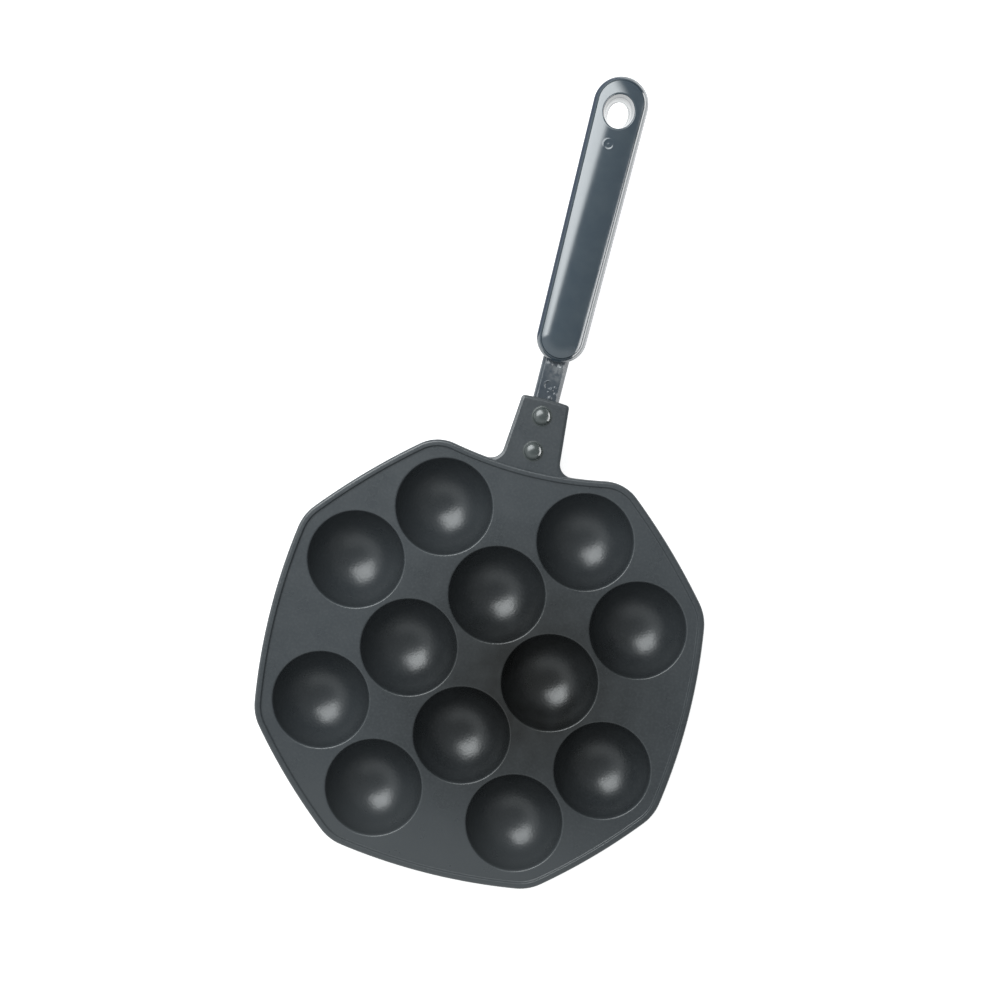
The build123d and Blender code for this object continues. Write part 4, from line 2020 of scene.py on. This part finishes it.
@dataclass(frozen=True)
class Floor:
    """Pale floor, which camera, glossy and transmission rays see as near white."""

    size: float = 6.0
    colour: Colour = (0.8, 0.8, 0.8)
    roughness: float = 0.9
    glow: float = 0.84  # for those rays alone

    def build(self) -> None:
        """Adds the floor."""
        surface = Surface("floor")
        seen: object = 0.0
        for ray in ("Is Camera Ray", "Is Glossy Ray", "Is Transmission Ray"):
            seen = surface.calc("MAXIMUM", seen, surface.add("ShaderNodeLightPath", output=ray))
        material = surface.finish(
            Base_Color=(*self.colour, 1),
            Roughness=self.roughness,
            Emission_Color=(*WHITE, 1),
            Emission_Strength=surface.calc("MULTIPLY", seen, self.glow),
        )
        material.cycles.emission_sampling = "NONE"
        half = self.size / 2
        stage_sheet("floor", (-half, -half, 0), (half, half, 0), material)


@dataclass(frozen=True)
class Card:
    """Glowing sheet that only reflections show.

    A card that is for named pieces adds its light to theirs alone, and is clear to the rest.
    """

    name: str
    low: Point
    high: Point
    colour: Colour
    radiance: float
    pieces: tuple[str, ...] = ()

    def _glow(self) -> bpy.types.Material:
        """Builds the glow of the card."""
        material = bpy.data.materials.new(self.name)
        material.use_nodes = True
        material.cycles.emission_sampling = "NONE"
        nodes = Nodes(material.node_tree)
        nodes.tree.nodes.clear()
        inputs = {"Color": (*self.colour, 1), "Strength": self.radiance}
        glow = nodes.add("ShaderNodeEmission", inputs)
        if self.pieces:
            clear = nodes.add("ShaderNodeBsdfTransparent")
            glow = nodes.add("ShaderNodeAddShader", {0: glow, 1: clear})
        result = nodes.tree.nodes.new("ShaderNodeOutputMaterial")
        nodes.feed(result.inputs["Surface"], glow)
        return material

    def build(self) -> None:
        """Adds the card."""
        sheet = stage_sheet(self.name, self.low, self.high, self._glow())
        sheet.visible_camera = False
        sheet.visible_diffuse = False
        sheet.visible_shadow = False
        sheet.visible_transmission = False
        if self.pieces:
            lit = bpy.data.collections.new(f"{self.name} pieces")
            for name in self.pieces:
                lit.objects.link(bpy.data.objects[name])
            sheet.light_linking.receiver_collection = lit


@dataclass(frozen=True)
class Surroundings:
    """Dim room, brighter low on the left and in a band higher up at the near left.

    Spans are of a direction's own X, Y or Z, from where the light starts to where it is full.
    """

    dim: float = 0.25
    low_light: float = 0.28
    low_side: Span = (0.1, -0.6)
    low_height: Span = (0.6, 0.05)
    band_light: float = 0.45
    band_rise: Span = (0.35, 0.72)
    band_fall: Span = (0.96, 0.78)
    band_way: Span = (-0.512, -0.858)  # direction of its middle
    band_side: Span = (-0.25, 0.35)
    tint: Colour = (0.93, 0.985, 1.0)

    def build(self) -> None:
        """Sets up the world, which the camera sees as white."""
        world = bpy.data.worlds.new("surroundings")
        bpy.context.scene.world = world
        world.use_nodes = True
        nodes = Nodes(world.node_tree)
        way = nodes.add("ShaderNodeTexCoord", output="Generated")
        x, y, z = (nodes.axis(way, axis) for axis in "XYZ")
        east, north = (nodes.calc("MULTIPLY", a, b) for a, b in zip((x, y), self.band_way))
        aside = nodes.calc("ADD", east, north)
        light: object = self.dim
        for strength, parts in (
            (self.low_light, ((x, self.low_side), (z, self.low_height))),
            (self.band_light, ((z, self.band_rise), (z, self.band_fall), (aside, self.band_side))),
        ):
            glow: object = strength
            for value, span in parts:
                glow = nodes.calc("MULTIPLY", glow, nodes.remap(value, span, curve=Curve.EASED))
            light = nodes.calc("ADD", light, glow)
        seen = nodes.add("ShaderNodeLightPath", output="Is Camera Ray")
        background = world.node_tree.nodes["Background"]
        level = nodes.add("ShaderNodeMix", {"Factor": seen, "A": light, "B": 1.0})
        nodes.feed(background.inputs["Strength"], level)
        nodes.feed(background.inputs["Color"], nodes.blend(seen, self.tint, WHITE))


@dataclass(frozen=True)
class Studio:
    """Camera, soft box, floor, reflection cards and surroundings."""

    purple: Colour = (0.2, 0.18, 0.28)
    grip: tuple[str, ...] = ("grip_top_shell", "grip_bottom_shell")
    tang: tuple[str, ...] = ("handle_tang_steel",)
    rivets: tuple[str, ...] = ("lug_rivets",)

    def _cards(self) -> tuple[Card, ...]:
        """A dim card left of the grip, and bright ones on its right that stand apart."""
        handle = self.grip + self.tang
        return (
            # painted shade: a dim purple card, seen only in reflections, for the darker floor left
            # of the grip
            Card("dark card", (-1.2, 0.05, 0.001), (-0.03, 0.6, 0.001), self.purple, 1.0),
            Card("grip card", (0.25, -0.20, 0.03), (0.25, 0.40, 0.31), WHITE, 4.8, self.grip),
            Card("tang card", (0.26, -0.06, 0.01), (0.26, 0.40, 0.40), WHITE, 3.0, self.tang),
            Card("lit sheet", (0.03, 0.0, 0.001), (0.25, 0.32, 0.001), WHITE, 1.4, handle),
            Card("rivet card", (0.27, -0.10, 0.0), (0.27, 0.26, 0.20), WHITE, 5.5, self.rivets),
        )

    def build(self) -> None:
        """Sets up the whole studio."""
        for item in (View(), SoftBox(), Floor(), *self._cards(), Surroundings()):
            item.build()
        bpy.context.scene.view_settings.view_transform = "Standard"


def main() -> None:
    """Builds and dresses every piece in order, and the studio round them."""
    logging.basicConfig(level=logging.INFO, format="%(name)s %(message)s")
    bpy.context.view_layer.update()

    pan = PanCasting()
    coating = Coating(
        # middle of the coating's painted reflection
        centre=(22 * MM, pan.centre.y - 5 * MM, pan.plate_top),
        # heights of the painted shade down into the bowls
        bowl_shade_from=(pan.plate_top - 0.5 * MM, pan.plate_top - 3 * MM),
    ).material()
    hand_over(pan.build(coating), "coated_casting", "pan_casting")

    slope = Slope()
    paint = Paint().material()
    hand_over(HandleTang(slope).build(paint), "painted_steel", "handle_tang")

    rivet_coat = Coating(
        "rivet coating",
        dark=(0.07, 0.083, 0.08),
        pale=(0.07, 0.083, 0.08),
        smoothness=(0.2, 0.27),
        depth=1.9,
        grain=0.8 * MM,
        grain_height=0.008 * MM,
    ).material()
    hand_over(LugRivets(pan).build(rivet_coat), "rivet_metal", "lug_rivet_1", "lug_rivet_2")

    phenolic = Phenolic().material()
    upper = GripShell(slope, Half.UPPER).build("grip_top_shell", phenolic)
    hand_over(upper, "grip_moulding", "grip_upper")
    lower = GripShell(slope, Half.LOWER).build("grip_bottom_shell", phenolic)
    hand_over(lower, "grip_moulding", "grip_lower")

    zinc = Metal("zinc plate", (0.55, 0.56, 0.56), (0.38, 0.37, 0.34)).material()
    hand_over(GripScrews(slope).build(zinc), "screw_steel", "grip_screw_1", "grip_screw_2")

    brass = Metal("turned brass", (0.60, 0.43, 0.17), (0.42, 0.28, 0.11)).material()
    for name in ("grip_insert_1", "grip_insert_2"):
        dress(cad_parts[name], brass)
        LOG.info("%s: dressed as it is", name)

    Studio().build()


if __name__ == "__main__":
    main()
